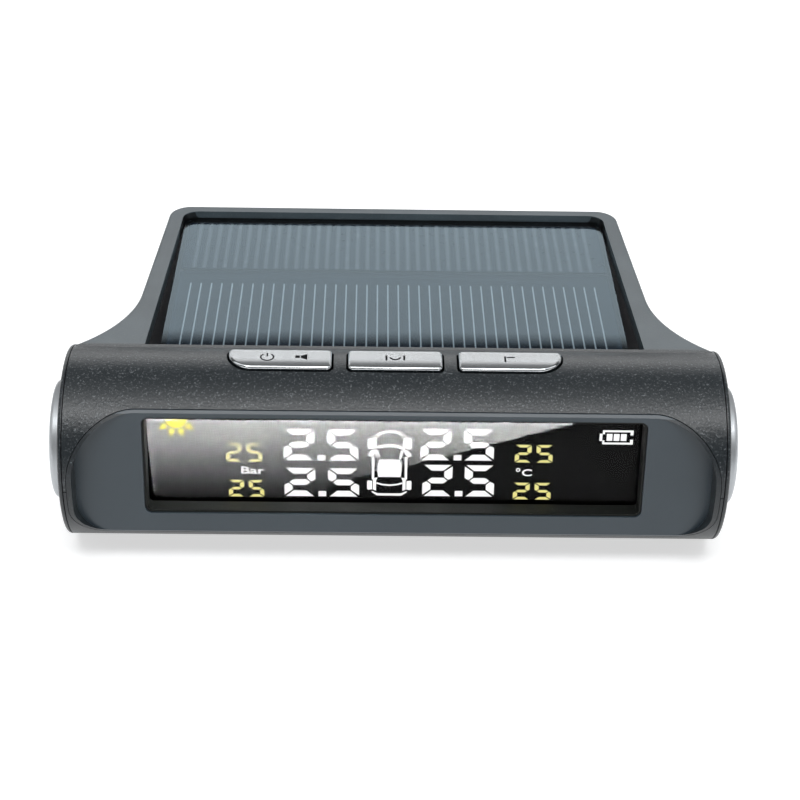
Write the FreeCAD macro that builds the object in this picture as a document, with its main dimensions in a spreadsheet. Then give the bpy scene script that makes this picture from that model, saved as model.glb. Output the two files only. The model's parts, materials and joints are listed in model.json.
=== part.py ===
import FreeCAD, Part
import Sketcher
import math
import os
import re

# Solar tire pressure monitor for a dashboard, in millimetres.
# Origin: middle of the footprint, on the surface the pad rests on. +Z is up, the display faces -Y.
# Most places are worked out from the barrel's axis, which runs along X.

SIZES = {
    # case
    "overall_width": 84.0,
    "overall_depth": 57.2,
    "barrel_radius": 11.7,
    "base_drop": 11.2,
    "pad_thickness": 0.8,
    "wall": 1.7,
    "seam": 0.12,
    "parting_lift": 0.5,
    "disc_stand": 2.0,
    "disc_radius": 7.3,
    "cap_plate": 0.6,
    "cap_plug": 1.8,
    "edge_round": 0.5,
    # deck and tail
    "deck_start": 111.2,
    "deck_slope": 4.2,
    "tail_half_width": 31.2,
    "tail_taper": 3.1,
    "tail_corner": 3.0,
    "tail_chamfer": 9.0,
    "chamfer_angle": 30.0,
    "flare_radius": 20.2,
    "flare_end": 18.8,
    "deck_rim": 1.85,
    "tray_depth": 3.0,
    "tray_floor": 1.4,
    "tray_setback": 0.7,
    "panel_gap": 0.25,
    "panel_front_gap": 1.7,
    "panel_corner": 2.0,
    # bezel and display
    "facet_half_angle": 43.5,
    "facet_tilt": 7.5,
    "bezel_margin": 0.4,
    "bezel_rim": 0.6,
    "bezel_gap": 0.06,
    "bezel_plate": 1.4,
    "bezel_top_corner": 7.6,
    "bezel_low_corner": 4.0,
    "window_side": 8.2,
    "window_top": 0.6,
    "window_low": 2.45,
    "window_corner": 0.9,
    "lining": 0.3,
    "recess_depth": 2.5,
    "window_thickness": 0.8,
    "polariser_thickness": 0.18,
    "cell_thickness": 1.1,
    "diffuser_thickness": 0.4,
    "guide_thickness": 1.2,
    "stack_gap": 0.02,
    # buttons and switches
    "button_middle_length": 11.4,
    "button_outer_length": 12.5,
    "button_spacing": 2.0,
    "button_depth": 4.1,
    "button_back": 2.5,
    "button_proud": 0.45,
    "button_clearance": 0.25,
    "button_edge_round": 0.3,
    "button_nose": 2.9,
    "button_corner": 0.6,
    "button_skirt": 1.4,
    "button_wall": 1.0,
    "button_travel": 0.4,
    "stem_width": 1.5,
    "stem_inset": 0.86,
    "switch_length": 6.0,
    "switch_depth": 3.2,
    "switch_height": 2.5,
    "plunger_radius": 0.8,
    "plunger_stand": 0.6,
    "plunger_foot": 1.25,
    "dome_height": 0.45,
    # boards
    "board_thickness": 1.2,
    "board_depth": 15.5,
    "board_side_room": 1.046,
    "charge_board_depth": 11.0,
    "charge_board_width": 18.0,
    "charge_board_lift": 4.6,
    "front_screw_start": 3.0,
    "post_radius": 2.4,
    "pilot_radius": 1.0,
    "pilot_depth": 6.5,
    "screw_way_gap": 0.1,
    "head_way_gap": 0.15,
    "screw_radius": 0.9,
    "screw_head_radius": 1.9,
    "screw_head_height": 1.2,
    # charging socket
    "socket_width": 7.5,
    "socket_depth": 5.6,
    "socket_height": 2.7,
    "socket_wall": 0.3,
    "socket_clearance": 0.3,
    # power
    "battery_length": 34.0,
    "battery_start": 5.0,
    "battery_back_room": 9.5,
    "battery_thickness": 6.0,
    "tape_thickness": 0.3,
    "panel_board": 1.2,
    "cell_plate": 0.2,
    "panel_cover": 0.3,
    "lead_radius": 0.5,
    "pad_length": 44.0,
    "pad_width": 30.0,
}

DERIVED = {
    "axis_y": "barrel_radius - overall_depth / 2",
    "axis_z": "base_drop + pad_thickness",
    "tail_back": "overall_depth - barrel_radius",
    "shell_half": "overall_width / 2 - disc_stand - cap_plate",
    "bore_radius": "barrel_radius - wall",
    "floor_z": "wall - base_drop",
    # where the deck leaves the barrel, from the barrel's axis
    "deck_y": "0 - barrel_radius * cos(deck_start)",
    "deck_z": "barrel_radius * sin(deck_start)",
    "deck_length": "(tail_back - deck_y) / cos(deck_slope)",
    # the flare: an arc that a straight tapering side leaves along its tangent
    "side_half": "tail_half_width + (tail_back - flare_end) * tan(tail_taper)",
    "flare_x": "side_half + flare_radius * cos(tail_taper)",
    "flare_y": "flare_end + flare_radius * sin(tail_taper)",
    # the front facet, seen along its own normal
    "facet_offset": "barrel_radius * cos(facet_half_angle)",
    "facet_half": "barrel_radius * sin(facet_half_angle)",
    "bezel_half": "shell_half - bezel_margin - bezel_rim",
    "window_half": "bezel_half - window_side",
    "window_high": "facet_half - window_top",
    "window_bottom": "window_low - facet_half",
    # display layers, as depths below the facet
    "window_back": "recess_depth + window_thickness",
    "front_polariser_at": "window_back + stack_gap",
    "cell_at": "front_polariser_at + polariser_thickness",
    "rear_polariser_at": "cell_at + cell_thickness",
    "diffuser_at": "rear_polariser_at + polariser_thickness + stack_gap",
    "guide_at": "diffuser_at + diffuser_thickness",
    "stack_depth": "guide_at + guide_thickness",
    "facet_cut": "facet_offset - sqrt(bore_radius ^ 2 - (facet_half + 0.4) ^ 2) + 0.2",
    # buttons and the switches under them, from the barrel's axis
    "skirt_z": "bore_radius - button_skirt",
    "plunger_top": "skirt_z - 0.95 - stack_gap",
    "switch_top": "plunger_top - plunger_stand",
    "board_top": "switch_top - switch_height",
    "board_low": "board_top - board_thickness",
    "board_half": "side_half - board_side_room",
    "board_front": "board_top * tan(facet_tilt) - (facet_offset - stack_depth) / cos(facet_tilt) + 0.6",
    "board_back": "board_front + board_depth",
    "switch_y": "board_front + switch_depth / 2 + 0.2",
    "button_front": "button_back - button_depth",
    "outer_button_in": "button_middle_length / 2 + button_spacing",
    "outer_button_x": "outer_button_in + button_outer_length / 2",
    # solar tray, in the deck's own tilted frame
    "tray_end": "deck_length - deck_rim",
    "tray_back_half": "tail_half_width - deck_rim",
    "panel_half": "tray_back_half - panel_gap",
    "tray_front_half": "panel_half + panel_front_gap",
    "panel_start": "tray_setback + 0.4",
    "panel_end": "tray_end - 0.4",
    "panel_board_z": "tape_thickness - tray_depth",
    "cell_plate_z": "panel_board_z + panel_board",
    "panel_cover_z": "cell_plate_z + cell_plate",
    # charging end
    "charge_board_y": "tail_back - wall - 0.3 - charge_board_depth",
    "charge_board_z": "0 - charge_board_lift",
    "charge_board_top": "charge_board_z + board_thickness",
    "socket_z": "charge_board_top + socket_height / 2",
    # screws: two beside the barrel's bore, two ahead of the tail's chamfer
    "front_screw_x": "board_half + post_radius + 0.5",
    "rear_screw_x": "tail_half_width - wall - 3",
    "rear_screw_y": "tail_back - tail_chamfer - 3.5",
    "board_screw_x": "board_half - 6",
    "board_screw_y": "board_back - 2.6",
    # where the solar leads leave the panel's board
    "solar_lead_y": "deck_y + (tray_end - 5) * cos(deck_slope) + panel_board_z * sin(deck_slope)",
    "solar_lead_top": "deck_z - (tray_end - 5) * sin(deck_slope) + panel_board_z * cos(deck_slope)",
    # battery
    "battery_width": "charge_board_y - battery_start - battery_back_room",
    "battery_z": "floor_z + tape_thickness",
}

DOC = FreeCAD.newDocument("tire_pressure_monitor")
SHEET = DOC.addObject("Spreadsheet::Sheet", "size")
PIECES = []

SIDES = {"left": -1, "right": 1}
BUTTONS = {
    # centre and half length along X, and the side of the long nose
    "left": ("0 - outer_button_x", "button_outer_length / 2", -1),
    "middle": ("0", "button_middle_length / 2", 0),
    "right": ("outer_button_x", "button_outer_length / 2", 1),
}
# frames, each as its origin from the barrel's axis and its turn about X
LEVEL = ("0", "0", "0")
FACET = ("0", "0", "0 - facet_tilt")
DECK = ("deck_y", "deck_z", "0 - deck_slope")


# ---------------------------------------------------------------- sheet and rules

def fill_sheet():
    """Put each driving size in the sheet under its own alias."""
    for row, (alias, value) in enumerate(SIZES.items(), start=1):
        SHEET.set(f"A{row}", alias.replace("_", " "))
        SHEET.set(f"B{row}", str(value))
        SHEET.setAlias(f"B{row}", alias)
    DOC.recompute()


def rule(text):
    """Write a rule out in full: sizes as sheet cells, derived values as their own rules."""
    def swap(match):
        word = match.group(0)
        if word in DERIVED:
            return "(" + rule(DERIVED[word]) + ")"
        if word in SIZES:
            return "size." + word
        return word
    return re.sub(r"[a-z_]+", swap, text)


def number(text):
    """The value that a rule has now."""
    return float(SHEET.evalExpression(rule(text)))


def bind(item, **rules):
    """Bind an object's properties to the sheet."""
    for name, text in rules.items():
        item.setExpression(name, rule(text))


def place(item, at, frame=LEVEL, axis=FreeCAD.Vector(1, 0, 0), turn=None):
    """Bind a placement: a point in a tilted frame that is itself measured from the barrel's axis.

    turn adds to the frame's own tilt about X, or stands alone about another axis."""
    origin_y, origin_z, tilt = frame
    x, y, z = at
    angle = tilt if turn is None else f"{tilt} + {turn}"
    item.Placement = FreeCAD.Placement(FreeCAD.Vector(), FreeCAD.Rotation(axis, 1))
    item.setExpression("Placement.Rotation.Angle", rule(angle))
    item.setExpression("Placement.Base.x", rule(x))
    along = f"axis_y + {origin_y} + ({y}) * cos({tilt}) - ({z}) * sin({tilt})"
    above = f"axis_z + {origin_z} + ({y}) * sin({tilt}) + ({z}) * cos({tilt})"
    item.setExpression("Placement.Base.y", rule(along))
    item.setExpression("Placement.Base.z", rule(above))
    return item


def finish(item, label):
    """Name an object as a finished sub-part."""
    item.Label = label
    PIECES.append(item)
    return item


# ---------------------------------------------------------------- solids

def box(name, low, high, frame=LEVEL):
    """A box between two corners given as rules."""
    item = DOC.addObject("Part::Box", name)
    bind(item, Length=f"({high[0]}) - ({low[0]})", Width=f"({high[1]}) - ({low[1]})",
         Height=f"({high[2]}) - ({low[2]})")
    return place(item, low, frame)


def upright(name, radius, height, at, frame=LEVEL):
    """A cylinder that stands along its frame's Z from a point."""
    item = DOC.addObject("Part::Cylinder", name)
    bind(item, Radius=radius, Height=height)
    return place(item, at, frame)


def lying(name, radius, length, at):
    """A cylinder that lies along X from a point."""
    item = DOC.addObject("Part::Cylinder", name)
    bind(item, Radius=radius, Height=length)
    return place(item, at, axis=FreeCAD.Vector(0, 1, 0), turn="90")


def fuse(name, *items):
    """Join solids."""
    item = DOC.addObject("Part::MultiFuse", name)
    item.Shapes = list(items)
    return item


def common(name, first, second):
    """What two solids share."""
    item = DOC.addObject("Part::Common", name)
    item.Base = first
    item.Tool = second
    return item


def cut(name, base, *tools):
    """A solid less others."""
    item = DOC.addObject("Part::Cut", name)
    item.Base = base
    item.Tool = tools[0] if len(tools) == 1 else fuse(name + "_tools", *tools)
    return item


def group(name, *items):
    """Loose solids that share one node."""
    item = DOC.addObject("Part::Compound", name)
    item.Links = list(items)
    return item


def draw(sketch, corners):
    """Draw a closed outline whose corners and radii are bound to the sheet.

    A corner is (x, y) where a straight side starts, or (x, y, radius, side) where an arc starts;
    side is 1 if the arc's centre lies left of the way along the outline, else -1."""
    first = sketch.GeometryCount
    spots = [FreeCAD.Vector(number(c[0]), number(c[1]), 0) for c in corners]
    ends = []
    for i, corner in enumerate(corners):
        start = spots[i]
        stop = spots[(i + 1) % len(spots)]
        if len(corner) == 2:
            sketch.addGeometry(Part.LineSegment(start, stop), False)
            ends.append((1, 2))
        else:
            sketch.addGeometry(arc(start, stop, number(corner[2]), corner[3]), False)
            ends.append((1, 2) if corner[3] > 0 else (2, 1))
    for i in range(len(corners)):
        before = (i - 1) % len(corners)
        sketch.addConstraint(Sketcher.Constraint(
            "Coincident", first + before, ends[before][1], first + i, ends[i][0]))
    for i, corner in enumerate(corners):
        fix(sketch, "DistanceX", first + i, ends[i][0], corner[0])
        fix(sketch, "DistanceY", first + i, ends[i][0], corner[1])
        if len(corner) == 4:
            at = sketch.addConstraint(Sketcher.Constraint("Radius", first + i, number(corner[2])))
            sketch.setExpression(f"Constraints[{at}]", rule(corner[2]))


def arc(start, stop, radius, side):
    """The short arc between two points with its centre on one side of the way."""
    chord = stop - start
    reach = math.sqrt(max(radius ** 2 - chord.Length ** 2 / 4, 0))
    left = FreeCAD.Vector(-chord.y, chord.x, 0).normalize()
    centre = (start + stop) / 2 + left * (reach * side)
    first, last = (start, stop) if side > 0 else (stop, start)
    low = math.atan2(first.y - centre.y, first.x - centre.x)
    high = math.atan2(last.y - centre.y, last.x - centre.x)
    return Part.ArcOfCircle(Part.Circle(centre, FreeCAD.Vector(0, 0, 1), radius), low, high)


def fix(sketch, kind, geometry, point, text):
    """Hold one coordinate of a point, measured from the sketch's origin."""
    at = sketch.addConstraint(Sketcher.Constraint(kind, -1, 1, geometry, point, number(text)))
    sketch.setExpression(f"Constraints[{at}]", rule(text))


def draw_circle(sketch, x, y, radius):
    """Draw a circle bound to the sheet."""
    centre = FreeCAD.Vector(number(x), number(y), 0)
    circle = sketch.addGeometry(Part.Circle(centre, FreeCAD.Vector(0, 0, 1), number(radius)), False)
    fix(sketch, "DistanceX", circle, 3, x)
    fix(sketch, "DistanceY", circle, 3, y)
    at = sketch.addConstraint(Sketcher.Constraint("Radius", circle, number(radius)))
    sketch.setExpression(f"Constraints[{at}]", rule(radius))


def rounded(x0, y0, x1, y1, low_left, low_right, top_right, top_left):
    """Corners of a rectangle with a radius of its own at each corner."""
    return [
        (f"{x0} + {low_left}", y0),
        (f"{x1} - {low_right}", y0, low_right, 1),
        (x1, f"{y0} + {low_right}"),
        (x1, f"{y1} - {top_right}", top_right, 1),
        (f"{x1} - {top_right}", y1),
        (f"{x0} + {top_left}", y1, top_left, 1),
        (x0, f"{y1} - {top_left}"),
        (x0, f"{y0} + {low_left}", low_left, 1),
    ]


def even(half_x, y0, y1, radius):
    """Corners of a rectangle about x = 0 with one radius."""
    return rounded(f"0 - ({half_x})", y0, half_x, y1, radius, radius, radius, radius)


def prism(name, plane, outlines, length, circles=()):
    """A body padded from closed outlines and circles on one of its origin planes."""
    body = DOC.addObject("PartDesign::Body", name)
    sketch = body.newObject("Sketcher::SketchObject", name + "_outline")
    home = [item for item in body.Origin.OriginFeatures if item.Role == plane][0]
    sketch.AttachmentSupport = [(home, "")]
    sketch.MapMode = "FlatFace"
    for corners in outlines:
        draw(sketch, corners)
    for x, y, radius in circles:
        draw_circle(sketch, x, y, radius)
    feature = body.newObject("PartDesign::Pad", name + "_pad")
    feature.Profile = sketch
    bind(feature, Length=length)
    return body


def plate(name, outlines, low, thickness, frame=LEVEL, circles=()):
    """A plate in its frame's XY plane, from a height upwards."""
    return place(prism(name, "XY_Plane", outlines, thickness, circles), ("0", "0", low), frame)


def facet_plate(name, outlines, depth, thickness):
    """A plate parallel to the front facet, its front face at a depth below it.

    Its outlines are drawn in (x, height along the facet)."""
    body = prism(name, "XY_Plane", outlines, thickness)
    return place(body, ("0", f"{depth} + {thickness} - facet_offset", "0"), FACET, turn="90")


def side_prism(name, corners, half_length):
    """A prism along X, even about x = 0, from an outline in (distance behind the axis, height)."""
    body = prism(name, "YZ_Plane", [corners], f"2 * ({half_length})")
    return place(body, (f"0 - ({half_length})", "0", "0"))


def edge_fillet(name, base, radius, wanted):
    """Round the edges that a test picks."""
    DOC.recompute()
    item = DOC.addObject("Part::Fillet", name)
    item.Base = base
    size = number(radius)
    item.Edges = [(i, size, size) for i, edge in enumerate(base.Shape.Edges, start=1) if wanted(edge)]
    return item


# ---------------------------------------------------------------- case

def case_block(name, inset, half, roof):
    """The barrel and the flared tail as one solid, set in by a wall and down by a roof."""
    barrel = lying(name + "_barrel", f"barrel_radius - {inset}", f"2 * ({half})",
                   (f"0 - ({half})", "0", "0"))
    rise = "tan(chamfer_angle)"
    lean = "cos(chamfer_angle)"
    profile = side_prism(name + "_profile", [
        ("0", f"{inset} - base_drop"),
        (f"tail_back - tail_chamfer + ({inset} - {inset} / {lean}) / {rise}", f"{inset} - base_drop"),
        (f"tail_back - {inset}", f"(tail_chamfer - {inset}) * {rise} + {inset} / {lean} - base_drop"),
        (f"tail_back - {inset}", f"deck_z - (tail_back - {inset} - deck_y) * tan(deck_slope) - ({roof})"),
        ("0", f"deck_z + deck_y * tan(deck_slope) - ({roof})"),
    ], half)
    tail = common(name + "_tail", profile, plan_block(name + "_plan", inset))
    if inset == "0":
        tail = rim_round(name + "_rim", tail)
    return fuse(name, barrel, tail)


def plan_block(name, inset):
    """The outline seen from above: straight tapering sides that flare out to the barrel's ends."""
    reach = f"flare_radius + {inset}"
    front_x = f"shell_half - {inset}"
    front_y = f"flare_y - sqrt(({reach}) ^ 2 - (flare_x - ({front_x})) ^ 2)"
    flare_x = f"flare_x - ({reach}) * cos(tail_taper)"
    flare_y = f"flare_y - ({reach}) * sin(tail_taper)"
    corner = f"(tail_corner - {inset})"
    corner_x = f"tail_half_width + tail_corner * tan(tail_taper) - {inset} / cos(tail_taper)"
    corner_y = "tail_back - tail_corner"
    back_y = f"tail_back - {inset}"
    corners = [
        (f"0 - ({front_x})", "0"),
        (front_x, "0"),
        (front_x, front_y, reach, -1),
        (flare_x, flare_y),
        (corner_x, corner_y, corner, 1),
        (f"{corner_x} - {corner}", back_y),
        (f"{corner} - ({corner_x})", back_y, corner, 1),
        (f"0 - ({corner_x})", corner_y),
        (f"0 - ({flare_x})", flare_y, reach, -1),
        (f"0 - ({front_x})", front_y),
    ]
    return plate(name, [corners], "0 - base_drop - 1", "base_drop + barrel_radius + 2")


def tray_block(name, grow, low, high):
    """The space of the panel's tray, or a block that leaves a wall around it."""
    corners = [
        (f"0 - tray_front_half - {grow}", f"tray_setback - {grow}"),
        (f"tray_front_half + {grow}", f"tray_setback - {grow}"),
        (f"tray_back_half + {grow}", f"tray_end - panel_corner + {grow}", "panel_corner", 1),
        (f"tray_back_half + {grow} - panel_corner", f"tray_end + {grow}"),
        (f"panel_corner - tray_back_half - {grow}", f"tray_end + {grow}", "panel_corner", 1),
        (f"0 - tray_back_half - {grow}", f"tray_end - panel_corner + {grow}"),
    ]
    return plate(name, [corners], low, f"{high} - ({low})", DECK)


def facet_outline(grow, lift):
    """The D-shaped outline of the front facet, grown by a rim."""
    top = f"(bezel_top_corner + {grow})"
    low = f"(bezel_low_corner + {grow})"
    half = f"(bezel_half + {grow})"
    high = f"(facet_half + {lift})"
    return rounded(f"0 - {half}", f"0 - {high}", half, high, low, low, top, top)


def window_outline(grow):
    """The display's opening in the facet, grown or shrunk."""
    return even(f"window_half + {grow}", f"window_bottom - ({grow})", f"window_high + {grow}",
                f"(window_corner + {grow})")


def everywhere(name, low, high):
    """A slab that covers the whole plan between two heights."""
    half = "overall_width / 2 + 5"
    return box(name, (f"0 - ({half})", "0 - barrel_radius - 5", low), (half, "tail_back + 5", high))


def hollow_case(name):
    """The closed case before it is parted: outer skin, hollow inside, and the tray in the deck."""
    outer = case_block(name + "_outer", "0", "shell_half", "0")
    inner = case_block(name + "_inner", "wall", "shell_half + 1", "tray_depth + tray_floor")
    room = common(name + "_room", inner, everywhere(name + "_above_floor", "floor_z", "barrel_radius + 5"))
    tray = common(name + "_tray", outer, tray_block(name + "_tray_wall", "tray_floor",
                                                    "0 - tray_depth - tray_floor", "1"))
    return fuse(name, cut(name + "_skin", outer, room), tray), outer


def screw_spots():
    """The four case screws, as rules from the barrel's axis."""
    spots = []
    for sign in ("", "0 - "):
        spots.append((f"{sign}front_screw_x", "front_screw_start"))
        spots.append((f"{sign}rear_screw_x", "rear_screw_y"))
    return spots


def upper_shell():
    """Barrel top, deck and panel tray, with screw bosses and board posts below."""
    case, outer = hollow_case("upper_case")
    parting = "parting_lift + seam / 2"
    top = "barrel_radius + 3"
    bosses = [upright(f"upper_boss_{i}", "post_radius", f"{top} - ({parting})", (x, y, parting))
              for i, (x, y) in enumerate(screw_spots())]
    posts = [upright(f"board_post_{i}", "post_radius - 0.4", f"{top} - board_top",
                     (x, "board_screw_y", "board_top"))
             for i, x in enumerate(("board_screw_x", "0 - board_screw_x"))]
    inside = common("upper_bosses", fuse("upper_boss_set", *bosses, *posts), outer)
    solid = common("upper_half", fuse("upper_filled", case, inside), everywhere("upper_side", parting, top))
    pilots = [upright(f"pilot_{i}", "pilot_radius", "pilot_depth", (x, y, "0"))
              for i, (x, y) in enumerate(screw_spots())]
    taps = [upright(f"board_tap_{i}", "pilot_radius", "1.2", (x, "board_screw_y", "board_top - 0.1"))
            for i, x in enumerate(("board_screw_x", "0 - board_screw_x"))]
    pocket = tray_block("panel_pocket", "0", "0 - tray_depth", "3")
    wire_hole = upright("wire_hole", "1.8", "6", ("0", "tray_end - 5", "0 - tray_depth - 3"), DECK)
    slots = [button_prism(f"{side}_slot", side, "button_clearance", "bore_radius - 2.5", "4.5 + wall")
             for side in BUTTONS]
    facet = facet_hole("upper_facet_hole")
    item = cut("upper_case_cut", solid, facet, pocket, wire_hole, *slots, *pilots, *taps)
    return finish(item, "upper_shell")


def facet_hole(name):
    """The opening that the bezel's plate closes, wider than it by a fine gap."""
    outline = facet_outline("(bezel_rim + bezel_gap)", "0.4")
    return facet_plate(name, [outline], "0 - 4", "4 + facet_cut")


def rim_round(name, tail):
    """Round the deck's rim, all the way along the flares and round the back."""
    front = number("axis_y")
    level = number("axis_z + deck_z + deck_y * tan(deck_slope)")
    drop = number("tan(deck_slope)")

    def on_rim(edge):
        ends = [edge.valueAt(edge.FirstParameter), edge.valueAt(edge.LastParameter)]
        high = all(abs(end.z - level + (end.y - front) * drop) < 0.001 for end in ends)
        return high and max(end.y for end in ends) > front + 0.1
    return edge_fillet(name, tail, "edge_round", on_rim)


def lower_shell():
    """The bottom tray, with screw posts, charge board rests and the charging opening."""
    case, outer = hollow_case("lower_case")
    parting = "parting_lift - seam / 2"
    height = "base_drop + parting_lift + seam / 2"
    posts = [upright(f"lower_post_{i}", "post_radius", height, (x, y, "0 - base_drop"))
             for i, (x, y) in enumerate(screw_spots())]
    rests = [upright(f"board_rest_{i}", "1.5", "base_drop + charge_board_z",
                     (x, "charge_board_y + 2", "0 - base_drop"))
             for i, x in enumerate(("charge_board_width / 2 - 2", "2 - charge_board_width / 2"))]
    inside = common("lower_posts", fuse("lower_post_set", *posts, *rests), outer)
    slab = common("lower_half", case, everywhere("lower_side", "0 - base_drop", parting))
    holes = [upright(f"screw_way_{i}", "pilot_radius + screw_way_gap", "base_drop + 2",
                     (x, y, "0 - base_drop - 0.5"))
             for i, (x, y) in enumerate(screw_spots())]
    heads = [upright(f"head_way_{i}", "screw_head_radius + head_way_gap", "screw_head_height + 0.8",
                     (x, y, "0 - base_drop - 0.5")) for i, (x, y) in enumerate(screw_spots())]
    reach = "socket_width / 2 + socket_clearance"
    height = "socket_height / 2 + socket_clearance"
    way = box("socket_way", (f"0 - ({reach})", "tail_back - wall - 1", f"socket_z - ({height})"),
              (reach, "tail_back + 1", f"socket_z + {height}"))
    facet = facet_hole("lower_facet_hole")
    joined = fuse("lower_filled", slab, inside)
    return finish(cut("lower_case_cut", joined, facet, way, *holes, *heads), "lower_shell")


def front_bezel():
    """The facet plate with its thin rim, flush with the barrel, and the window's opening."""
    block = facet_plate("bezel_block", [facet_outline("bezel_rim", "0.3")], "0 - 4", "4 + bezel_plate")
    drum = lying("bezel_drum", "barrel_radius", "2 * shell_half", ("0 - shell_half", "0", "0"))
    dish = facet_plate("bezel_dish", [facet_outline("0", "0")], "0 - 5", "5")
    opening = facet_plate("bezel_opening", [window_outline("0")], "0 - 1", "3 + bezel_plate")
    solid = common("bezel_flush", block, drum)
    return finish(cut("bezel_cut", solid, dish, opening), "front_bezel")


def end_cap(side):
    """A thin end plate with a ring that plugs into the barrel's bore behind the bezel, recessed for its disc."""
    name = f"{side}_end_cap"
    sign = SIDES[side]
    out = "shell_half + cap_plate"
    start = "shell_half + seam"
    skin = lying(name + "_skin", "barrel_radius", f"{out} - ({start})", at_side(sign, start, out))
    outer_x = number(out) * sign

    def on_face(edge):
        return edge.Closed and abs(edge.BoundBox.XMin - outer_x) < 0.01 and edge.BoundBox.XLength < 0.01
    skin = edge_fillet(name + "_round", skin, "edge_round * 0.8", on_face)
    plug = lying(name + "_plug", "bore_radius - 0.1", "cap_plug + 0.2",
                 at_side(sign, "shell_half - cap_plug", "shell_half + 0.2"))
    bore = lying(name + "_bore", "bore_radius - 1.3", "cap_plug + 0.1",
                 at_side(sign, "shell_half - cap_plug - 0.1", "shell_half"))
    recess = lying(name + "_recess", "disc_radius + 0.1", "1", at_side(sign, f"{out} - 0.4", f"{out} + 0.6"))
    floor = everywhere(name + "_floor", "0 - barrel_radius - 1", "floor_z + 0.1")
    ring = cut(name + "_ring", plug, bore, floor, facet_hole(name + "_facet_room"))
    shape = fuse(name + "_joined", skin, ring)
    below = everywhere(name + "_below", "0 - barrel_radius - 1", "0 - base_drop")
    return finish(cut(name + "_cut", shape, recess, below), name)


def at_side(sign, near, far):
    """The low-x end of a stretch between two distances from the middle, on one side."""
    return (near if sign > 0 else f"0 - ({far})", "0", "0")


def side_disc(side):
    """A silver disc with a rounded edge and a shallow dome."""
    name = f"{side}_disc"
    out = "(0.4 + disc_stand)"
    body = DOC.addObject("PartDesign::Body", name)
    sketch = body.newObject("Sketcher::SketchObject", name + "_outline")
    home = [item for item in body.Origin.OriginFeatures if item.Role == "XY_Plane"][0]
    sketch.AttachmentSupport = [(home, "")]
    sketch.MapMode = "FlatFace"
    draw(sketch, [
        ("0", "0"),
        (out, "0", "((disc_radius - edge_round) ^ 2 + 0.35 ^ 2) / 0.7", 1),
        (f"{out} - 0.35", "disc_radius - edge_round", "edge_round", 1),
        (f"{out} - 0.35 - edge_round", "disc_radius"),
        ("0", "disc_radius"),
    ])
    feature = body.newObject("PartDesign::Revolution", name + "_turned")
    feature.Profile = sketch
    feature.ReferenceAxis = (sketch, ["H_Axis"])
    feature.Angle = 360
    turn = "0" if SIDES[side] > 0 else "180"
    start = "shell_half + cap_plate - 0.4"
    place(body, (start if SIDES[side] > 0 else f"0 - ({start})", "0", "0"),
          axis=FreeCAD.Vector(0, 0, 1), turn=turn)
    return finish(body, name)


def screw(name, at, length):
    """A pan screw that points up, with a cross in its head."""
    x, y, z = at
    head = upright(name + "_head", "screw_head_radius", "screw_head_height", at)
    shank = upright(name + "_shank", "screw_radius", length, (x, y, f"{z} + 0.5"))
    arms = [box(f"{name}_cross_{i}", (f"{x} - {a}", f"{y} - {b}", f"{z} - 0.1"),
                (f"{x} + {a}", f"{y} + {b}", f"{z} + 0.6"))
            for i, (a, b) in enumerate((("1.2", "0.2"), ("0.2", "1.2")))]
    return cut(name, fuse(name + "_blank", head, shank), *arms)


def case_screws():
    """Four screws from below, one in each post."""
    screws = [screw(f"case_screw_{i}", (x, y, "0.3 - base_drop"), "base_drop + 4.5")
              for i, (x, y) in enumerate(screw_spots())]
    return finish(group("case_screw_set", *screws), "case_screws")


def base_pad():
    """The soft adhesive pad that the unit rests on."""
    outline = even("pad_length / 2", "3", "3 + pad_width", "3")
    return finish(plate("pad_plate", [outline], "0 - axis_z", "pad_thickness"), "base_pad")


# ---------------------------------------------------------------- display

def display_frame():
    """The black frame that lines the recess and carries the display's layers."""
    inner = window_outline("0 - lining")
    collar = facet_plate("frame_collar", [window_outline("0 - 0.04"), inner], "0.25", "bezel_plate")
    flange = [even("window_half + 2", "window_bottom - 1", "window_high + 0.45", "1"), inner]
    back = facet_plate("frame_flange", flange, "bezel_plate + 0.05", "recess_depth - bezel_plate - 0.07")
    return finish(fuse("frame_joined", collar, back), "display_frame")


def layer(label, grow_side, grow_low, grow_high, depth, thickness):
    """One flat layer of the display, grown past the window on each side."""
    outline = even(f"window_half + {grow_side}", f"window_bottom - ({grow_low})",
                   f"window_high + {grow_high}", "0.4")
    return finish(facet_plate(label + "_plate", [outline], depth, thickness), label)


def display_layers():
    """The flat layers from the clear window back to the light guide."""
    layer("display_window", "1.8", "0.9", "0.4", "recess_depth", "window_thickness")
    layer("front_polariser", "0.6", "0.2", "0.1", "front_polariser_at", "polariser_thickness")
    layer("lcd_cell", "1.0", "1.0", "0.15", "cell_at", "cell_thickness")
    layer("rear_polariser", "0.6", "0.2", "0.1", "rear_polariser_at", "polariser_thickness")
    layer("diffuser", "0 - 0.4", "0", "0 - 0.5", "diffuser_at", "diffuser_thickness")
    layer("light_guide", "0 - 0.4", "0", "0 - 0.5", "guide_at", "guide_thickness")


def backlight_leds():
    """Three small LEDs at each end of the light guide."""
    leds = []
    for side, sign in SIDES.items():
        for i in range(3):
            low = f"window_bottom + 1.5 + {i} * 3.6"
            near, far = "window_half - 0.35", "window_half + 0.85"
            x0, x1 = (near, far) if sign > 0 else (f"0 - ({far})", f"0 - ({near})")
            leds.append(box(f"{side}_led_{i}", (x0, "guide_at - facet_offset + 0.1", low),
                            (x1, "guide_at - facet_offset + 1.0", f"{low} + 2"), FACET))
    return finish(group("led_set", *leds), "backlight_leds")


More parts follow.
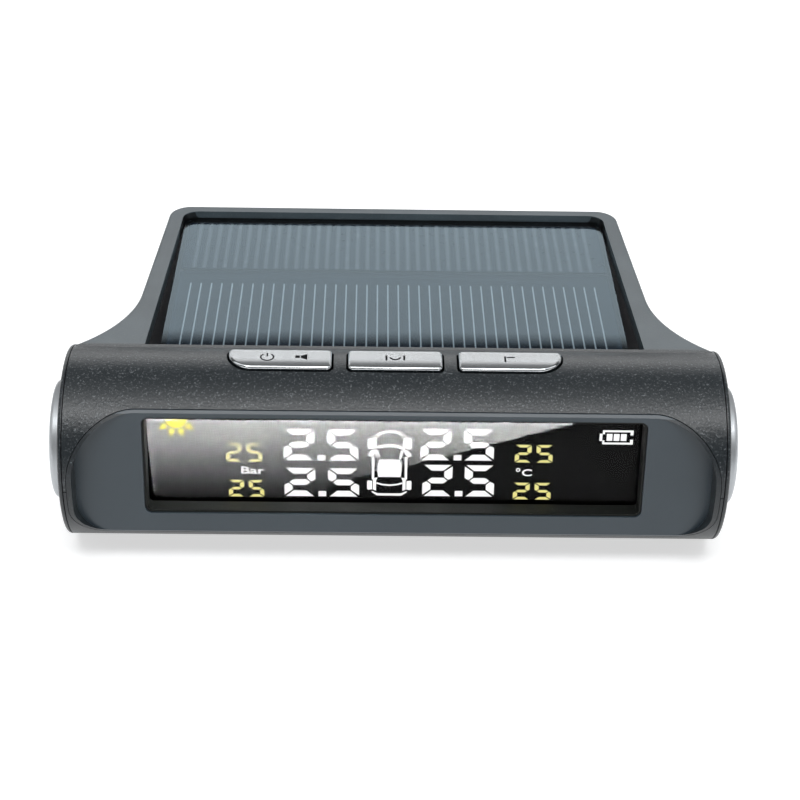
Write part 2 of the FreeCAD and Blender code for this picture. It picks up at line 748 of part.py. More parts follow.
def display_flex():
    """The flat cable from the glass's lower ledge, up behind the light guide, to the board."""
    ledge = "rear_polariser_at - facet_offset"
    back = "stack_depth - facet_offset + 0.1"
    low = "window_bottom - 0.95"
    tail = box("flex_tail", ("0 - 8", "board_front - 0.55", "board_low - 0.16"),
               ("8", "board_front + 2", "board_low"))
    parts = [
        box("flex_contact", ("0 - 8", ledge, low), ("8", f"{ledge} + 0.15", "window_bottom - 0.3"), FACET),
        box("flex_under", ("0 - 8", ledge, low), ("8", f"{back} + 0.15", f"{low} + 0.15"), FACET),
        box("flex_rise", ("0 - 8", back, low), ("8", f"{back} + 0.15", "board_low - 0.25"), FACET),
        tail,
    ]
    return finish(fuse("flex_joined", *parts), "display_flex")


# ---------------------------------------------------------------- buttons and switches

def button_prism(name, side, grow, low, thickness):
    """A button's outline, grown by a clearance, from a height up."""
    centre, half, nose = BUTTONS[side]
    tip = f"(button_nose + {grow})"
    plain = f"(button_corner + {grow})"
    front_left = tip if nose < 0 else plain
    front_right = tip if nose > 0 else plain
    corners = rounded(f"{centre} - {half} - {grow}", f"button_front - {grow}",
                      f"{centre} + {half} + {grow}", f"button_back + {grow}",
                      front_left, front_right, plain, plain)
    return plate(name, [corners], low, thickness)


def button_cap(side):
    """A hollow button, its crown round like the barrel and a little proud of it."""
    name = f"{side}_button"
    centre, half, _ = BUTTONS[side]
    crown = "barrel_radius + button_proud"
    drum = lying(name + "_drum", crown, f"2 * ({half}) + 2", (f"{centre} - {half} - 1", "0", "0"))
    block = button_prism(name + "_block", side, "0", "skirt_z", "barrel_radius + 2 - skirt_z")
    solid = common(name + "_crowned", block, drum)
    centre_z = number("axis_z")
    radius = number(crown)
    centre_y = number("axis_y")

    def on_crown(edge):
        spots = [edge.valueAt(edge.FirstParameter + t * (edge.LastParameter - edge.FirstParameter))
                 for t in (0.0, 0.5, 1.0)]
        return all(abs(math.hypot(s.y - centre_y, s.z - centre_z) - radius) < 0.01 for s in spots)
    solid = edge_fillet(name + "_round", solid, "button_edge_round", on_crown)
    roof = "barrel_radius - 0.9"
    hollow = box(name + "_hollow",
                 (f"{centre} - {half} + button_wall + 0.6", "button_front + button_wall", "skirt_z - 1"),
                 (f"{centre} + {half} - button_wall - 0.6", "button_back - button_wall", roof))
    stem_back = "button_back - stem_inset"
    stem = box(name + "_stem",
               (f"{centre} - stem_width / 2", f"{stem_back} - stem_width", "plunger_top + stack_gap"),
               (f"{centre} + stem_width / 2", stem_back, f"{roof} + 0.1"))
    tabs = [box(f"{name}_tab_{i}", (f"{centre} {sign} ({half}) - 0.6", "button_front + 0.85", "skirt_z"),
                (f"{centre} {sign} ({half}) + 0.6", "button_back - 0.9", "skirt_z + 0.7"))
            for i, sign in enumerate("-+")]
    return finish(fuse(name + "_joined", cut(name + "_cup", solid, hollow), stem, *tabs), name)


def switch(side):
    """One tact switch: its body, its sprung dome and its plunger, as three sub-parts."""
    name = f"{side}_switch"
    x = BUTTONS[side][0]
    case = box(name + "_case", (f"{x} - switch_length / 2", "switch_y - switch_depth / 2", "board_top"),
               (f"{x} + switch_length / 2", "switch_y + switch_depth / 2", "switch_top"))
    room = upright(name + "_room", "plunger_foot + 0.17", "switch_height - 1.1",
                   (x, "switch_y", "board_top + 0.5"))
    way = upright(name + "_way", "plunger_radius + 0.15", "2", (x, "switch_y", "switch_top - 1"))
    finish(cut(name + "_body_cut", case, room, way), f"{side}_switch_body")
    foot_low = "board_top + 0.5 + dome_height + 0.05"
    foot = upright(name + "_foot", "plunger_foot", "0.4", (x, "switch_y", foot_low))
    stem = upright(name + "_stem", "plunger_radius", f"plunger_top - ({foot_low})", (x, "switch_y", foot_low))
    finish(fuse(name + "_plunger_joined", foot, stem), f"{side}_switch_plunger")
    rim = "plunger_foot"
    radius = f"(({rim}) ^ 2 + dome_height ^ 2) / (2 * dome_height)"
    centre = f"board_top + 0.5 + dome_height - {radius}"
    outer = ball(name + "_dome_outer", radius, (x, "switch_y", centre))
    inner = ball(name + "_dome_inner", f"{radius} - 0.1", (x, "switch_y", centre))
    above = upright(name + "_dome_limit", "plunger_foot + 0.1", "1", (x, "switch_y", "board_top + 0.5"))
    dome = common(name + "_dome_cap", cut(name + "_dome_shell", outer, inner), above)
    finish(dome, f"{side}_switch_dome")


def ball(name, radius, at):
    """A sphere about a point."""
    item = DOC.addObject("Part::Sphere", name)
    bind(item, Radius=radius)
    return place(item, at)


# ---------------------------------------------------------------- electronics

def main_board():
    """The main board, flat under the barrel's top, with two screw holes."""
    outline = even("board_half", "board_front", "board_back", "1")
    circles = [(x, "board_screw_y", "pilot_radius") for x in ("board_screw_x", "0 - board_screw_x")]
    board = plate("board_plate", [outline], "board_low", "board_thickness", circles=circles)
    return finish(board, "main_board")


def board_screws():
    """Two screws that hold the main board up to its posts."""
    screws = [screw(f"board_screw_{i}", (x, "board_screw_y", "board_low - screw_head_height"), "3")
              for i, x in enumerate(("board_screw_x", "0 - board_screw_x"))]
    return finish(group("board_screw_set", *screws), "board_screws")


def under_board(label, x, y, length, width, height):
    """A flat component soldered to the main board's underside."""
    item = box(label + "_block", (f"{x} - {length} / 2", f"board_front + {y}", f"board_low - {height}"),
               (f"{x} + {length} / 2", f"board_front + {y} + {width}", "board_low"))
    return finish(item, label)


def small_parts():
    """Resistors and capacitors in two rows under the main board."""
    chips = []
    for i in range(12):
        x = f"{(i % 6) * 2.4 - 18.5}"
        y = f"{4.0 + (i // 6) * 1.8}"
        chips.append(box(f"small_part_{i}", (x, f"board_front + {y}", "board_low - 0.6"),
                         (f"{x} + 1.6", f"board_front + {y} + 0.8", "board_low")))
    return finish(group("small_part_set", *chips), "small_parts")


def buzzer():
    """A round sounder with a hole in its lid, hung under the board."""
    y = "board_front + 9"
    can = upright("buzzer_can", "4.5", "3.2", ("19", y, "board_low - 3.2"))
    hole = upright("buzzer_hole", "0.9", "1", ("19", y, "board_low - 3.7"))
    return finish(cut("buzzer_cut", can, hole), "buzzer")


def vibration_sensor():
    """A small can that wakes the unit when the vehicle moves."""
    y = "board_front + 10.5"
    return finish(upright("sensor_can", "1.5", "4.4", ("10", y, "board_low - 4.4")), "vibration_sensor")


def antenna_coil():
    """The radio's helical antenna, lying along X under the board."""
    turns, pitch, radius, wire = 6, 0.9, 1.7, 0.25
    helix = Part.makeHelix(pitch, turns * pitch, radius)
    profile = Part.Wire([Part.makeCircle(wire, FreeCAD.Vector(radius, 0, 0), FreeCAD.Vector(0, 1, 0))])
    coil = Part.Wire(helix.Edges).makePipeShell([profile], True, True)
    item = DOC.addObject("Part::Feature", "antenna_wire")
    item.Shape = coil
    place(item, ("0 - 21", "board_front + 11.5", "board_low - 2.1"), axis=FreeCAD.Vector(0, 1, 0), turn="90")
    return finish(item, "antenna_coil")


# ---------------------------------------------------------------- power

def panel_plate(label, grow, low, thickness, holes=()):
    """One layer of the solar panel, in the deck's frame."""
    corner = "panel_corner"
    outline = even(f"panel_half - {grow}", f"panel_start + {grow}", f"panel_end - {grow}", corner)
    return finish(plate(label + "_plate", [outline], low, thickness, DECK, holes), label)


def solar_panel():
    """The panel's board, its two rows of cells, the clear cover and the tape below."""
    hole = [("0", "tray_end - 5", "1.9")]
    panel_plate("panel_tape", "0.8", "0 - tray_depth", "tape_thickness", hole)
    panel_plate("solar_board", "0", "panel_board_z", "panel_board")
    panel_plate("panel_cover", "0", "panel_cover_z", "panel_cover")
    split = "panel_start + (panel_end - panel_start) * 0.6"
    rows = [
        plate("cell_row_front", [even("panel_half - 0.6", "panel_start + 0.6", f"{split} - 0.4", "0.5")],
              "cell_plate_z", "cell_plate", DECK),
        plate("cell_row_back", [even("panel_half - 0.6", f"{split} + 0.4", "panel_end - 0.6", "0.5")],
              "cell_plate_z", "cell_plate", DECK),
    ]
    finish(group("cell_rows", *rows), "solar_cells")


def panel_seal():
    """The black sealant that fills the gap around the panel."""
    fill = tray_block("seal_fill", "(0 - 0.02)", "0 - tray_depth", "0 - tray_depth + 1.4")
    outline = even("panel_half + 0.05", "panel_start - 0.05", "panel_end + 0.05", "panel_corner")
    room = plate("seal_room", [outline], "0 - tray_depth - 1", "4", DECK)
    return finish(cut("seal_cut", fill, room), "panel_seal")


def battery():
    """The pouch cell and the tape that holds it to the floor."""
    outline = even("battery_length / 2", "battery_start", "battery_start + battery_width", "1.5")
    finish(plate("cell_pouch", [outline], "battery_z", "battery_thickness"), "battery_cell")
    outline = even("battery_length / 2 - 2", "battery_start + 2", "battery_start + battery_width - 2", "1")
    finish(plate("battery_tape_plate", [outline], "floor_z", "tape_thickness"), "battery_tape")


def charge_board():
    """The small board at the tail that carries the charging socket."""
    outline = even("charge_board_width / 2", "charge_board_y", "charge_board_y + charge_board_depth", "0.5")
    finish(plate("charge_board_plate", [outline], "charge_board_z", "board_thickness"), "charge_board")
    chip = box("charge_chip_block", ("0 - 7.6", "charge_board_y + 2", "charge_board_top"),
               ("0 - 4.6", "charge_board_y + 5", "charge_board_top + 1"))
    finish(chip, "charge_chip")


def charging_socket():
    """The socket's metal shell with its tongue, open towards the back."""
    half = "socket_width / 2"
    low = "charge_board_top"
    high = "charge_board_top + socket_height"
    back = "tail_back - 0.5"
    shell = box("socket_shell", (f"0 - {half}", f"{back} - socket_depth", low), (half, back, high))
    room = box("socket_room",
               (f"socket_wall - {half}", f"{back} - socket_depth + 0.8", f"{low} + socket_wall"),
               (f"{half} - socket_wall", f"{back} + 1", f"{high} - socket_wall"))
    tongue = box("socket_tongue", (f"1.6 - {half}", f"{back} - socket_depth + 0.5", "socket_z"),
                 (f"{half} - 1.6", f"{back} - 1.2", "socket_z + 0.6"))
    return finish(fuse("socket_joined", cut("socket_cut", shell, room), tongue), "charging_socket")


def lead(name, points):
    """One lead along straight runs with tangent arcs, from the barrel's axis."""
    spots = [FreeCAD.Vector(*(number(value) for value in point)) for point in points]
    edges = []
    start = spots[0]
    for before, corner, after in zip(spots, spots[1:], spots[2:]):
        into = (corner - before).normalize()
        away = (after - corner).normalize()
        half_turn = into.getAngle(away) / 2
        trim = 0.45 * min((corner - before).Length, (after - corner).Length)
        radius = trim / math.tan(half_turn)
        enter = corner - into * trim
        leave = corner + away * trim
        bow = (away - into).normalize()
        centre = corner + bow * (radius / math.cos(half_turn))
        edges.append(Part.makeLine(start, enter))
        edges.append(Part.Arc(enter, centre - bow * radius, leave).toShape())
        start = leave
    edges.append(Part.makeLine(start, spots[-1]))
    profile = Part.Wire([Part.makeCircle(number("lead_radius"), spots[0], spots[1] - spots[0])])
    item = DOC.addObject("Part::Feature", name)
    item.Shape = Part.Wire(edges).makePipeShell([profile], True, True)
    return place(item, ("0", "0", "0"))


def leads():
    """Battery, solar and link leads, each a pair."""
    pairs = {"battery_leads": [], "solar_leads": [], "link_leads": []}
    tab_z = "battery_z + battery_thickness - 1"
    for i, x in enumerate(("4.2", "6.4")):
        pairs["battery_leads"].append(lead(f"battery_lead_{i}", [
            (x, "battery_start + battery_width", tab_z),
            (x, "battery_start + battery_width + 2.2", tab_z),
            (x, "charge_board_y - 1.0", "charge_board_top + 0.9"),
            (x, "charge_board_y + 2.5", "charge_board_top + 0.5"),
        ]))
    for i, x in enumerate(("0 - 0.7", "0.7")):
        pairs["solar_leads"].append(lead(f"solar_lead_{i}", [
            (x, "solar_lead_y", "solar_lead_top - 0.05"),
            (x, "solar_lead_y", "solar_lead_top - 4"),
            (x, "charge_board_y + 3.2", "charge_board_top + 3"),
            (x, "charge_board_y + 3.2", "charge_board_top"),
        ]))
    for i, x in enumerate(("0 - 12.2", "0 - 14.0")):
        pairs["link_leads"].append(lead(f"link_lead_{i}", [
            (x, "board_back - 2", "board_low"),
            (x, "board_back - 2", "board_low - 3"),
            (x, "board_back + 3.5", "charge_board_top + 2.2"),
            (f"0 - 8.2 + {i} * 1.2", "charge_board_y + 1.0", "charge_board_top + 2.2"),
            (f"0 - 8.2 + {i} * 1.2", "charge_board_y + 1.0", "charge_board_top"),
        ]))
    for label, pair in pairs.items():
        finish(group(label + "_pair", *pair), label)


# ---------------------------------------------------------------- build and write

def build():
    """Make every sub-part."""
    fill_sheet()
    upper_shell()
    lower_shell()
    front_bezel()
    for side in SIDES:
        end_cap(side)
        side_disc(side)
    case_screws()
    base_pad()
    display_frame()
    display_layers()
    backlight_leds()
    display_flex()
    for side in BUTTONS:
        button_cap(side)
        switch(side)
    main_board()
    board_screws()
    under_board("controller_chip", "0", "6", "7", "7", "1")
    under_board("radio_chip", "0 - 24", "3", "4", "4", "0.9")
    under_board("crystal", "5.5", "7", "3.2", "2.5", "0.8")
    small_parts()
    buzzer()
    vibration_sensor()
    antenna_coil()
    solar_panel()
    panel_seal()
    battery()
    charge_board()
    charging_socket()
    leads()


def check():
    """Stop if anything failed to build."""
    DOC.recompute()
    for item in DOC.Objects:
        if "Invalid" in item.State or "Error" in item.State:
            raise RuntimeError(f"{item.Label} did not build: {item.State}")
    for item in PIECES:
        if item.Shape.isNull() or not item.Shape.isValid() or not item.Shape.Solids:
            raise RuntimeError(f"{item.Label} has no sound solid")


def write():
    """Write one STEP file for each sub-part."""
    os.makedirs("parts", exist_ok=True)
    for item in PIECES:
        item.Shape.exportStep(f"parts/{item.Label}.step")
        size = item.Shape.BoundBox
        print(f"{item.Label:24} {len(item.Shape.Solids):2} {item.Shape.Volume:10.2f} "
              f"{size.XMin:7.2f} {size.XMax:7.2f} {size.YMin:7.2f} {size.YMax:7.2f} "
              f"{size.ZMin:6.2f} {size.ZMax:6.2f}")


build()
check()
write()
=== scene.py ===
"""Finishes, display figures, key marks and studio for the solar tire pressure monitor.

Everything is in metres in the part's own frame: +Z up, the display facing -Y.
"""

import json
import logging
import math
from dataclasses import dataclass, field
from enum import Enum
from typing import Any

import bmesh
import bpy
from mathutils import Matrix, Vector

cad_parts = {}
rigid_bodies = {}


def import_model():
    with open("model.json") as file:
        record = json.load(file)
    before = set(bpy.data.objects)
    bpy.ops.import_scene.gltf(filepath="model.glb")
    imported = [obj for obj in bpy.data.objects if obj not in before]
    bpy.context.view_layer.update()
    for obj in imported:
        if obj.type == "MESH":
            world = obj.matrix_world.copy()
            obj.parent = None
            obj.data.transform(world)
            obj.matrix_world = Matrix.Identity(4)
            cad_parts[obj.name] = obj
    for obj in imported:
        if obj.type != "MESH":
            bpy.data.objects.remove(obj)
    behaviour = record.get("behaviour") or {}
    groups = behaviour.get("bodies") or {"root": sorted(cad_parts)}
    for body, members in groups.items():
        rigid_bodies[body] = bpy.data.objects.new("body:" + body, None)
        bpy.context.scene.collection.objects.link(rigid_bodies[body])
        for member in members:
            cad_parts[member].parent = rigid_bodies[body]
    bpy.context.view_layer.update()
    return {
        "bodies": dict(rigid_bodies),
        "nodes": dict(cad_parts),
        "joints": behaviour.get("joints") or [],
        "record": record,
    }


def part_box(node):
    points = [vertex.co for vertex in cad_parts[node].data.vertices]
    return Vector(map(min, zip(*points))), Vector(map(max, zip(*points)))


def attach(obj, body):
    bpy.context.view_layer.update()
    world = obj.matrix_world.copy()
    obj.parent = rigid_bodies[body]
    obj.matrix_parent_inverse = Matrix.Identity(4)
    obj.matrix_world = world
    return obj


LOG = logging.getLogger("pressure_monitor")
MM = 0.001
CAPITAL_SHARE = 0.73  # of a letter's full size
BOLD = 0.025  # how far, in millimetres, lettering is thickened
ARC_STEP = 9  # degrees
WELD = 1e-7
SIDES = ("left", "middle", "right")

Colour = tuple[float, float, float]
Point = tuple[float, float]
Outline = list[Point]


# ---------------------------------------------------------------- shader helpers


class Value:
    """A number, colour or vector on its way through a material's nodes."""

    def __init__(self, nodes: "Nodes", socket: bpy.types.NodeSocket) -> None:
        """Hold one output socket."""
        self.nodes = nodes
        self.socket = socket

    def _math(self, operation: str, *operands: Any) -> "Value":
        """Add a Math node.

        Args:
            operation: the Math node's operation.
            operands: numbers or values, in the node's order.

        Returns:
            The node's result.
        """
        settings = {"operation": operation}
        return self.nodes.node("ShaderNodeMath", settings, dict(enumerate(operands)))

    def __add__(self, other: Any) -> "Value":
        """Add."""
        return self._math("ADD", self, other)

    def __radd__(self, other: Any) -> "Value":
        """Add, reflected."""
        return self._math("ADD", other, self)

    def __sub__(self, other: Any) -> "Value":
        """Subtract."""
        return self._math("SUBTRACT", self, other)

    def __rsub__(self, other: Any) -> "Value":
        """Subtract, reflected."""
        return self._math("SUBTRACT", other, self)

    def __mul__(self, other: Any) -> "Value":
        """Multiply."""
        return self._math("MULTIPLY", self, other)

    def __rmul__(self, other: Any) -> "Value":
        """Multiply, reflected."""
        return self._math("MULTIPLY", other, self)

    def __truediv__(self, other: Any) -> "Value":
        """Divide."""
        return self._math("DIVIDE", self, other)

    def __rtruediv__(self, other: Any) -> "Value":
        """Divide, reflected."""
        return self._math("DIVIDE", other, self)

    def __pow__(self, other: Any) -> "Value":
        """Raise to a power."""
        return self._math("POWER", self, other)

    def __gt__(self, other: Any) -> "Value":
        """1 where greater, else 0."""
        return self._math("GREATER_THAN", self, other)

    def __lt__(self, other: Any) -> "Value":
        """1 where less, else 0."""
        return self._math("LESS_THAN", self, other)

    def __abs__(self) -> "Value":
        """Without its sign."""
        return self._math("ABSOLUTE", self)

    def fraction(self) -> "Value":
        """What is left over a whole number."""
        return self._math("FRACT", self)

    def sine(self) -> "Value":
        """Sine."""
        return self._math("SINE", self)

    def root(self) -> "Value":
        """Square root."""
        return self._math("SQRT", self)

    def ramp(self, low: float, high: float) -> "Value":
        """A smooth step.

        Args:
            low: where the step starts.
            high: where it ends; below low for a falling step.

        Returns:
            0 before low, 1 after high.
        """
        inputs = {"Value": self, "From Min": low, "From Max": high, "To Min": 0.0, "To Max": 1.0}
        return self.nodes.node("ShaderNodeMapRange", {"interpolation_type": "SMOOTHSTEP"}, inputs)

    def between(self, low: float, high: float) -> "Value":
        """1 from low to high, else 0."""
        return (self > low) * (self < high)


class Nodes:
    """Builds the node tree of one material or world."""

    def __init__(self, tree: bpy.types.NodeTree) -> None:
        """Empty a tree and keep it."""
        self.tree = tree
        tree.nodes.clear()

    @staticmethod
    def _socket(sockets: Any, key: str | int) -> bpy.types.NodeSocket:
        """Find a socket by number, identifier or name.

        Args:
            sockets: a node's inputs or outputs.
            key: its number, identifier or name.

        Returns:
            The socket.
        """
        if isinstance(key, int):
            return sockets[key]
        for socket in sockets:
            if key == socket.identifier:
                return socket
        return sockets[key]

    def node(self, kind: str, settings: dict[str, Any] | None = None,
             inputs: dict[Any, Any] | None = None, out: str | int = 0) -> Value:
        """Add a node.

        Args:
            kind: the node's type.
            settings: its properties; "stops" gives a ramp's places and colours.
            inputs: numbers, colours or values by socket number, identifier or name.
            out: the output wanted.

        Returns:
            The wanted output.
        """
        made = self.tree.nodes.new(kind)
        for name, value in (settings or {}).items():
            if name == "stops":
                elements = made.color_ramp.elements
                while len(elements) < len(value):
                    elements.new(1.0)
                for element, (place, colour) in zip(elements, value):
                    element.position = place
                    element.color = (*colour, 1.0)
            else:
                setattr(made, name, value)
        for key, value in (inputs or {}).items():
            socket = self._socket(made.inputs, key)
            if isinstance(value, Value):
                self.tree.links.new(value.socket, socket)
            elif isinstance(value, tuple) and socket.type == "RGBA":
                socket.default_value = (*value, 1.0)
            else:
                socket.default_value = value
        return Value(self, self._socket(made.outputs, out) if len(made.outputs) else None)

    def place(self) -> Value:
        """Where a surface point is in the part's frame, in metres."""
        return self.node("ShaderNodeTexCoord", out="Object")

    def axes(self, point: Value) -> tuple[Value, Value, Value]:
        """A point's X, Y and Z.

        Args:
            point: the point.

        Returns:
            The three numbers.
        """
        split = self.node("ShaderNodeSeparateXYZ", inputs={0: point})
        sockets = split.socket.node.outputs
        return Value(self, sockets[0]), Value(self, sockets[1]), Value(self, sockets[2])

    def vector(self, operation: str, *operands: Any, out: str = "Vector") -> Value:
        """Add a Vector Math node."""
        settings = {"operation": operation}
        return self.node("ShaderNodeVectorMath", settings, dict(enumerate(operands)), out)

    def mix(self, factor: Any, first: Any, second: Any) -> Value:
        """Mix two colours.

        Args:
            factor: 0 for the first, 1 for the second.
            first: a colour.
            second: a colour.

        Returns:
            The mixed colour.
        """
        inputs = {"Factor_Float": factor, "A_Color": first, "B_Color": second}
        return self.node("ShaderNodeMix", {"data_type": "RGBA"}, inputs, "Result_Color")

    def noise(self, point: Value, grain: float, detail: float = 2.0, rough: float = 0.5) -> Value:
        """Noise from 0 to 1.

        Args:
            point: where it is read.
            grain: the size of its lumps in metres.
            detail: how many finer layers it has.
            rough: how strong the finer layers are.

        Returns:
            The noise.
        """
        inputs = {"Vector": point, "Scale": 1 / grain, "Detail": detail, "Roughness": rough}
        return self.node("ShaderNodeTexNoise", inputs=inputs)

    def cells(self, point: Value, grain: float) -> Value:
        """Distance within cells of a size in metres."""
        inputs = {"Vector": point, "Scale": 1 / grain}
        return self.node("ShaderNodeTexVoronoi", {"feature": "F1"}, inputs, "Distance")

    def bump(self, height: Value, depth: float, strength: float = 1.0) -> Value:
        """A normal from a height of 0 to 1 and its real depth in metres."""
        inputs = {"Height": height, "Distance": depth, "Strength": strength}
        return self.node("ShaderNodeBump", inputs=inputs)

    def principled(self, **inputs: Any) -> Value:
        """The main shader, its sockets named with underscores for spaces."""
        named = {name.replace("_", " "): value for name, value in inputs.items()}
        return self.node("ShaderNodeBsdfPrincipled", inputs=named)

    def output(self, surface: Value, kind: str = "ShaderNodeOutputMaterial") -> None:
        """Finish the tree with a surface."""
        self.node(kind, inputs={"Surface": surface})


# ---------------------------------------------------------------- finishes


@dataclass(frozen=True)
class Finish:
    """A named material."""

    name: str

    def surface(self, nodes: Nodes) -> Value:
        """The finish's shader, given by each kind of finish."""
        raise NotImplementedError

    def material(self) -> bpy.types.Material:
        """The material, made once, under a name that no packed material has.

        Returns:
            The material.
        """
        label = "look_" + self.name
        made = bpy.data.materials.get(label)
        if made is None:
            made = bpy.data.materials.new(label)
            made.use_nodes = True
            nodes = Nodes(made.node_tree)
            nodes.output(self.surface(nodes))
        return made

    def dress(self, *objects: bpy.types.Object) -> None:
        """Give the material to objects.

        Args:
            objects: the mesh objects.
        """
        for item in objects:
            item.data.materials.clear()
            item.data.materials.append(self.material())


@dataclass(frozen=True)
class Moulded(Finish):
    """Moulded plastic, rubber or tape: a spark-worn grain, a little mottling and uneven sheen."""

    colour: Colour
    roughness: float = 0.5
    grain: float = 0.00018
    depth: float = 0.000012
    speckle: float = 0.25
    mottle: float = 0.12
    specular: float = 0.5

    def surface(self, nodes: Nodes) -> Value:
        """Grain, mottling and sheen on one base colour.

        Args:
            nodes: the nodes of the material.

        Returns:
            The shader.
        """
        place = nodes.place()
        fine = nodes.noise(place, self.grain, 3.0, 0.6)
        wide = nodes.noise(place, 0.006, 2.0)
        level = 1 + (fine - 0.5) * (2 * self.speckle) + (wide - 0.5) * (2 * self.mottle)
        tone = nodes.vector("SCALE", self.colour)
        nodes.tree.links.new(level.socket, tone.socket.node.inputs["Scale"])
        rough = self.roughness + (fine - 0.5) * 0.15 + (wide - 0.5) * 0.08
        normal = nodes.bump(fine, self.depth)
        return nodes.principled(Base_Color=tone, Roughness=rough, Normal=normal,
                                Specular_IOR_Level=self.specular)


@dataclass(frozen=True)
class Well:
    """The tray round the solar panel, whose walls are painted dark as shade."""

    normal: tuple[float, float, float]
    rim: float
    front: Point
    back: Point
    gap: float = 0.4 * MM
    lead: float = 3.0 * MM
    below_rim: float = 0.12 * MM

    def mask(self, nodes: Nodes, place: Value) -> Value:
        """1 inside the tray's outline and below its rim, else 0.

        Args:
            nodes: the material's nodes.
            place: the surface point.

        Returns:
            The mask.
        """
        x, y, _ = nodes.axes(place)
        height = nodes.vector("DOT_PRODUCT", place, self.normal, out="Value")
        slope = (self.back[1] - self.front[1]) / (self.back[0] - self.front[0])
        half = (y - self.front[0]) * slope + (self.front[1] + self.gap)
        length = y.between(self.front[0] - self.lead, self.back[0] + self.gap)
        return (abs(x) < half) * length * (height < self.rim - self.below_rim)


@dataclass(frozen=True)
class CaseShell(Finish):
    """Textured case plastic: a coarse grain with painted glints on the barrel, finer on the deck and the
    tray below; the deck is coloured lighter as painted light and the tray's walls darker as painted
    shade.
    """

    colour: Colour
    # painted light: lighter than the barrel, standing in for light on the deck's upward, backward-facing
    # surface
    deck_painted_light_colour: Colour
    deck_y: float
    parting_z: float
    well: Well
    # painted glints: lighter specks on the coarse grain stand in for light sparkling off the texture
    painted_glint_colour: Colour = (0.21, 0.23, 0.245)
    # painted shade: near-black for the tray's walls below the rim
    well_shade_colour: Colour = (0.0025, 0.003, 0.0035)
    grain: float = 0.00026
    depth: float = 0.000028
    roughness: float = 0.34

    def surface(self, nodes: Nodes) -> Value:
        """Two mould textures that meet at the ridge and at the parting line.

        Args:
            nodes: the nodes of the material.

        Returns:
            The shader.
        """
        place = nodes.place()
        _, y, z = nodes.axes(place)
        deck = y.ramp(self.deck_y - 0.0002, self.deck_y + 0.0004)
        lower = 1 - z.ramp(self.parting_z - 0.0001, self.parting_z + 0.0001)
        smooth = deck + lower - deck * lower
        coarse = 1 - smooth * 0.75
        sparkle = nodes.noise(place, self.grain, 3.0, 0.7)
        lumps = nodes.cells(place, self.grain * 1.4)
        wide = nodes.noise(place, 0.009, 3.0)
        # painted glints: where the grain's lighter specks go
        painted_glints = sparkle.ramp(0.55, 0.70) * coarse
        # painted light: the deck takes its lighter colour
        base = nodes.mix(deck, self.colour, self.deck_painted_light_colour)
        tone = nodes.mix(wide.ramp(0.3, 0.7) * 0.25, base, tuple(c * 0.8 for c in self.colour))
        grained = nodes.mix(painted_glints * 0.55, tone, self.painted_glint_colour)
        # painted shade: the tray's walls below the rim go near-black
        colour = nodes.mix(self.well.mask(nodes, place), grained, self.well_shade_colour)
        rough = self.roughness + (sparkle - 0.5) * 0.25 + smooth * 0.04 + (wide - 0.5) * 0.06
        height = (sparkle + lumps * 0.6) * coarse
        normal = nodes.bump(height, self.depth)
        return nodes.principled(Base_Color=colour, Roughness=rough, Normal=normal)


@dataclass(frozen=True)
class BezelFace(Finish):
    """Satin bezel whose rim, proud of the flat face, takes the barrel's dark colour and grain with
    painted glints; on the rim's step wall this dark colour is painted shade.
    """

    colour: Colour
    # painted shade: the barrel's dark colour, which on the rim's step wall stands in for shade
    rim_shade_colour: Colour
    normal: tuple[float, float, float]
    face: float
    roughness: float = 0.36

    def surface(self, nodes: Nodes) -> Value:
        """Two looks that part at the edge of the flat face.

        Args:
            nodes: the nodes of the material.

        Returns:
            The shader.
        """
        place = nodes.place()
        height = nodes.vector("DOT_PRODUCT", place, self.normal, out="Value")
        # painted shade: the rim and its step wall, above the flat face, take the barrel's dark colour
        rim = height.ramp(self.face + 0.00004, self.face + 0.00012)
        fine = nodes.noise(place, 0.0003, 3.0, 0.6)
        wide = nodes.noise(place, 0.007, 2.0)
        worn = nodes.mix(wide.ramp(0.3, 0.7) * 0.4, self.colour, tuple(c * 0.88 for c in self.colour))
        # painted glints: lighter specks on the rim's grain
        light = tuple(c * 5 for c in self.rim_shade_colour)
        grain = nodes.mix(fine.ramp(0.55, 0.75) * 0.5, self.rim_shade_colour, light)
        tone = nodes.mix(rim, worn, grain)
        rough = self.roughness + rim * 0.1 + (fine - 0.5) * 0.06 + (wide - 0.5) * 0.05
        normal = nodes.bump(fine * (0.12 + rim * 0.88), 0.00003)
        return nodes.principled(Base_Color=tone, Roughness=rough, Normal=normal)


@dataclass(frozen=True)
class Metal(Finish):
    """Metal with fine rubbed lines and a few handling marks."""

    colour: Colour
    roughness: float = 0.25
    lines: float = 0.00008
    depth: float = 0.000002
    stretch: tuple[float, float, float] = (0.06, 1.0, 1.0)
    marks: float = 0.1

    def surface(self, nodes: Nodes) -> Value:
        """Stretched noise for rubbed lines, with slight clouding.

        Args:
            nodes: the nodes of the material.

        Returns:
            The shader.
        """
        place = nodes.place()
        drawn = nodes.vector("MULTIPLY", place, self.stretch)
        fine = nodes.noise(drawn, self.lines, 3.0)
        cloud = nodes.noise(place, 0.003, 3.0)
        dull = tuple(c * 0.8 for c in self.colour)
        tone = nodes.mix(cloud.ramp(0.2, 0.8) * self.marks * 2, self.colour, dull)
        rough = self.roughness + (fine - 0.5) * 0.12 + (cloud - 0.5) * self.marks
        return nodes.principled(Base_Color=tone, Metallic=1.0, Roughness=rough,
                                Normal=nodes.bump(fine, self.depth))


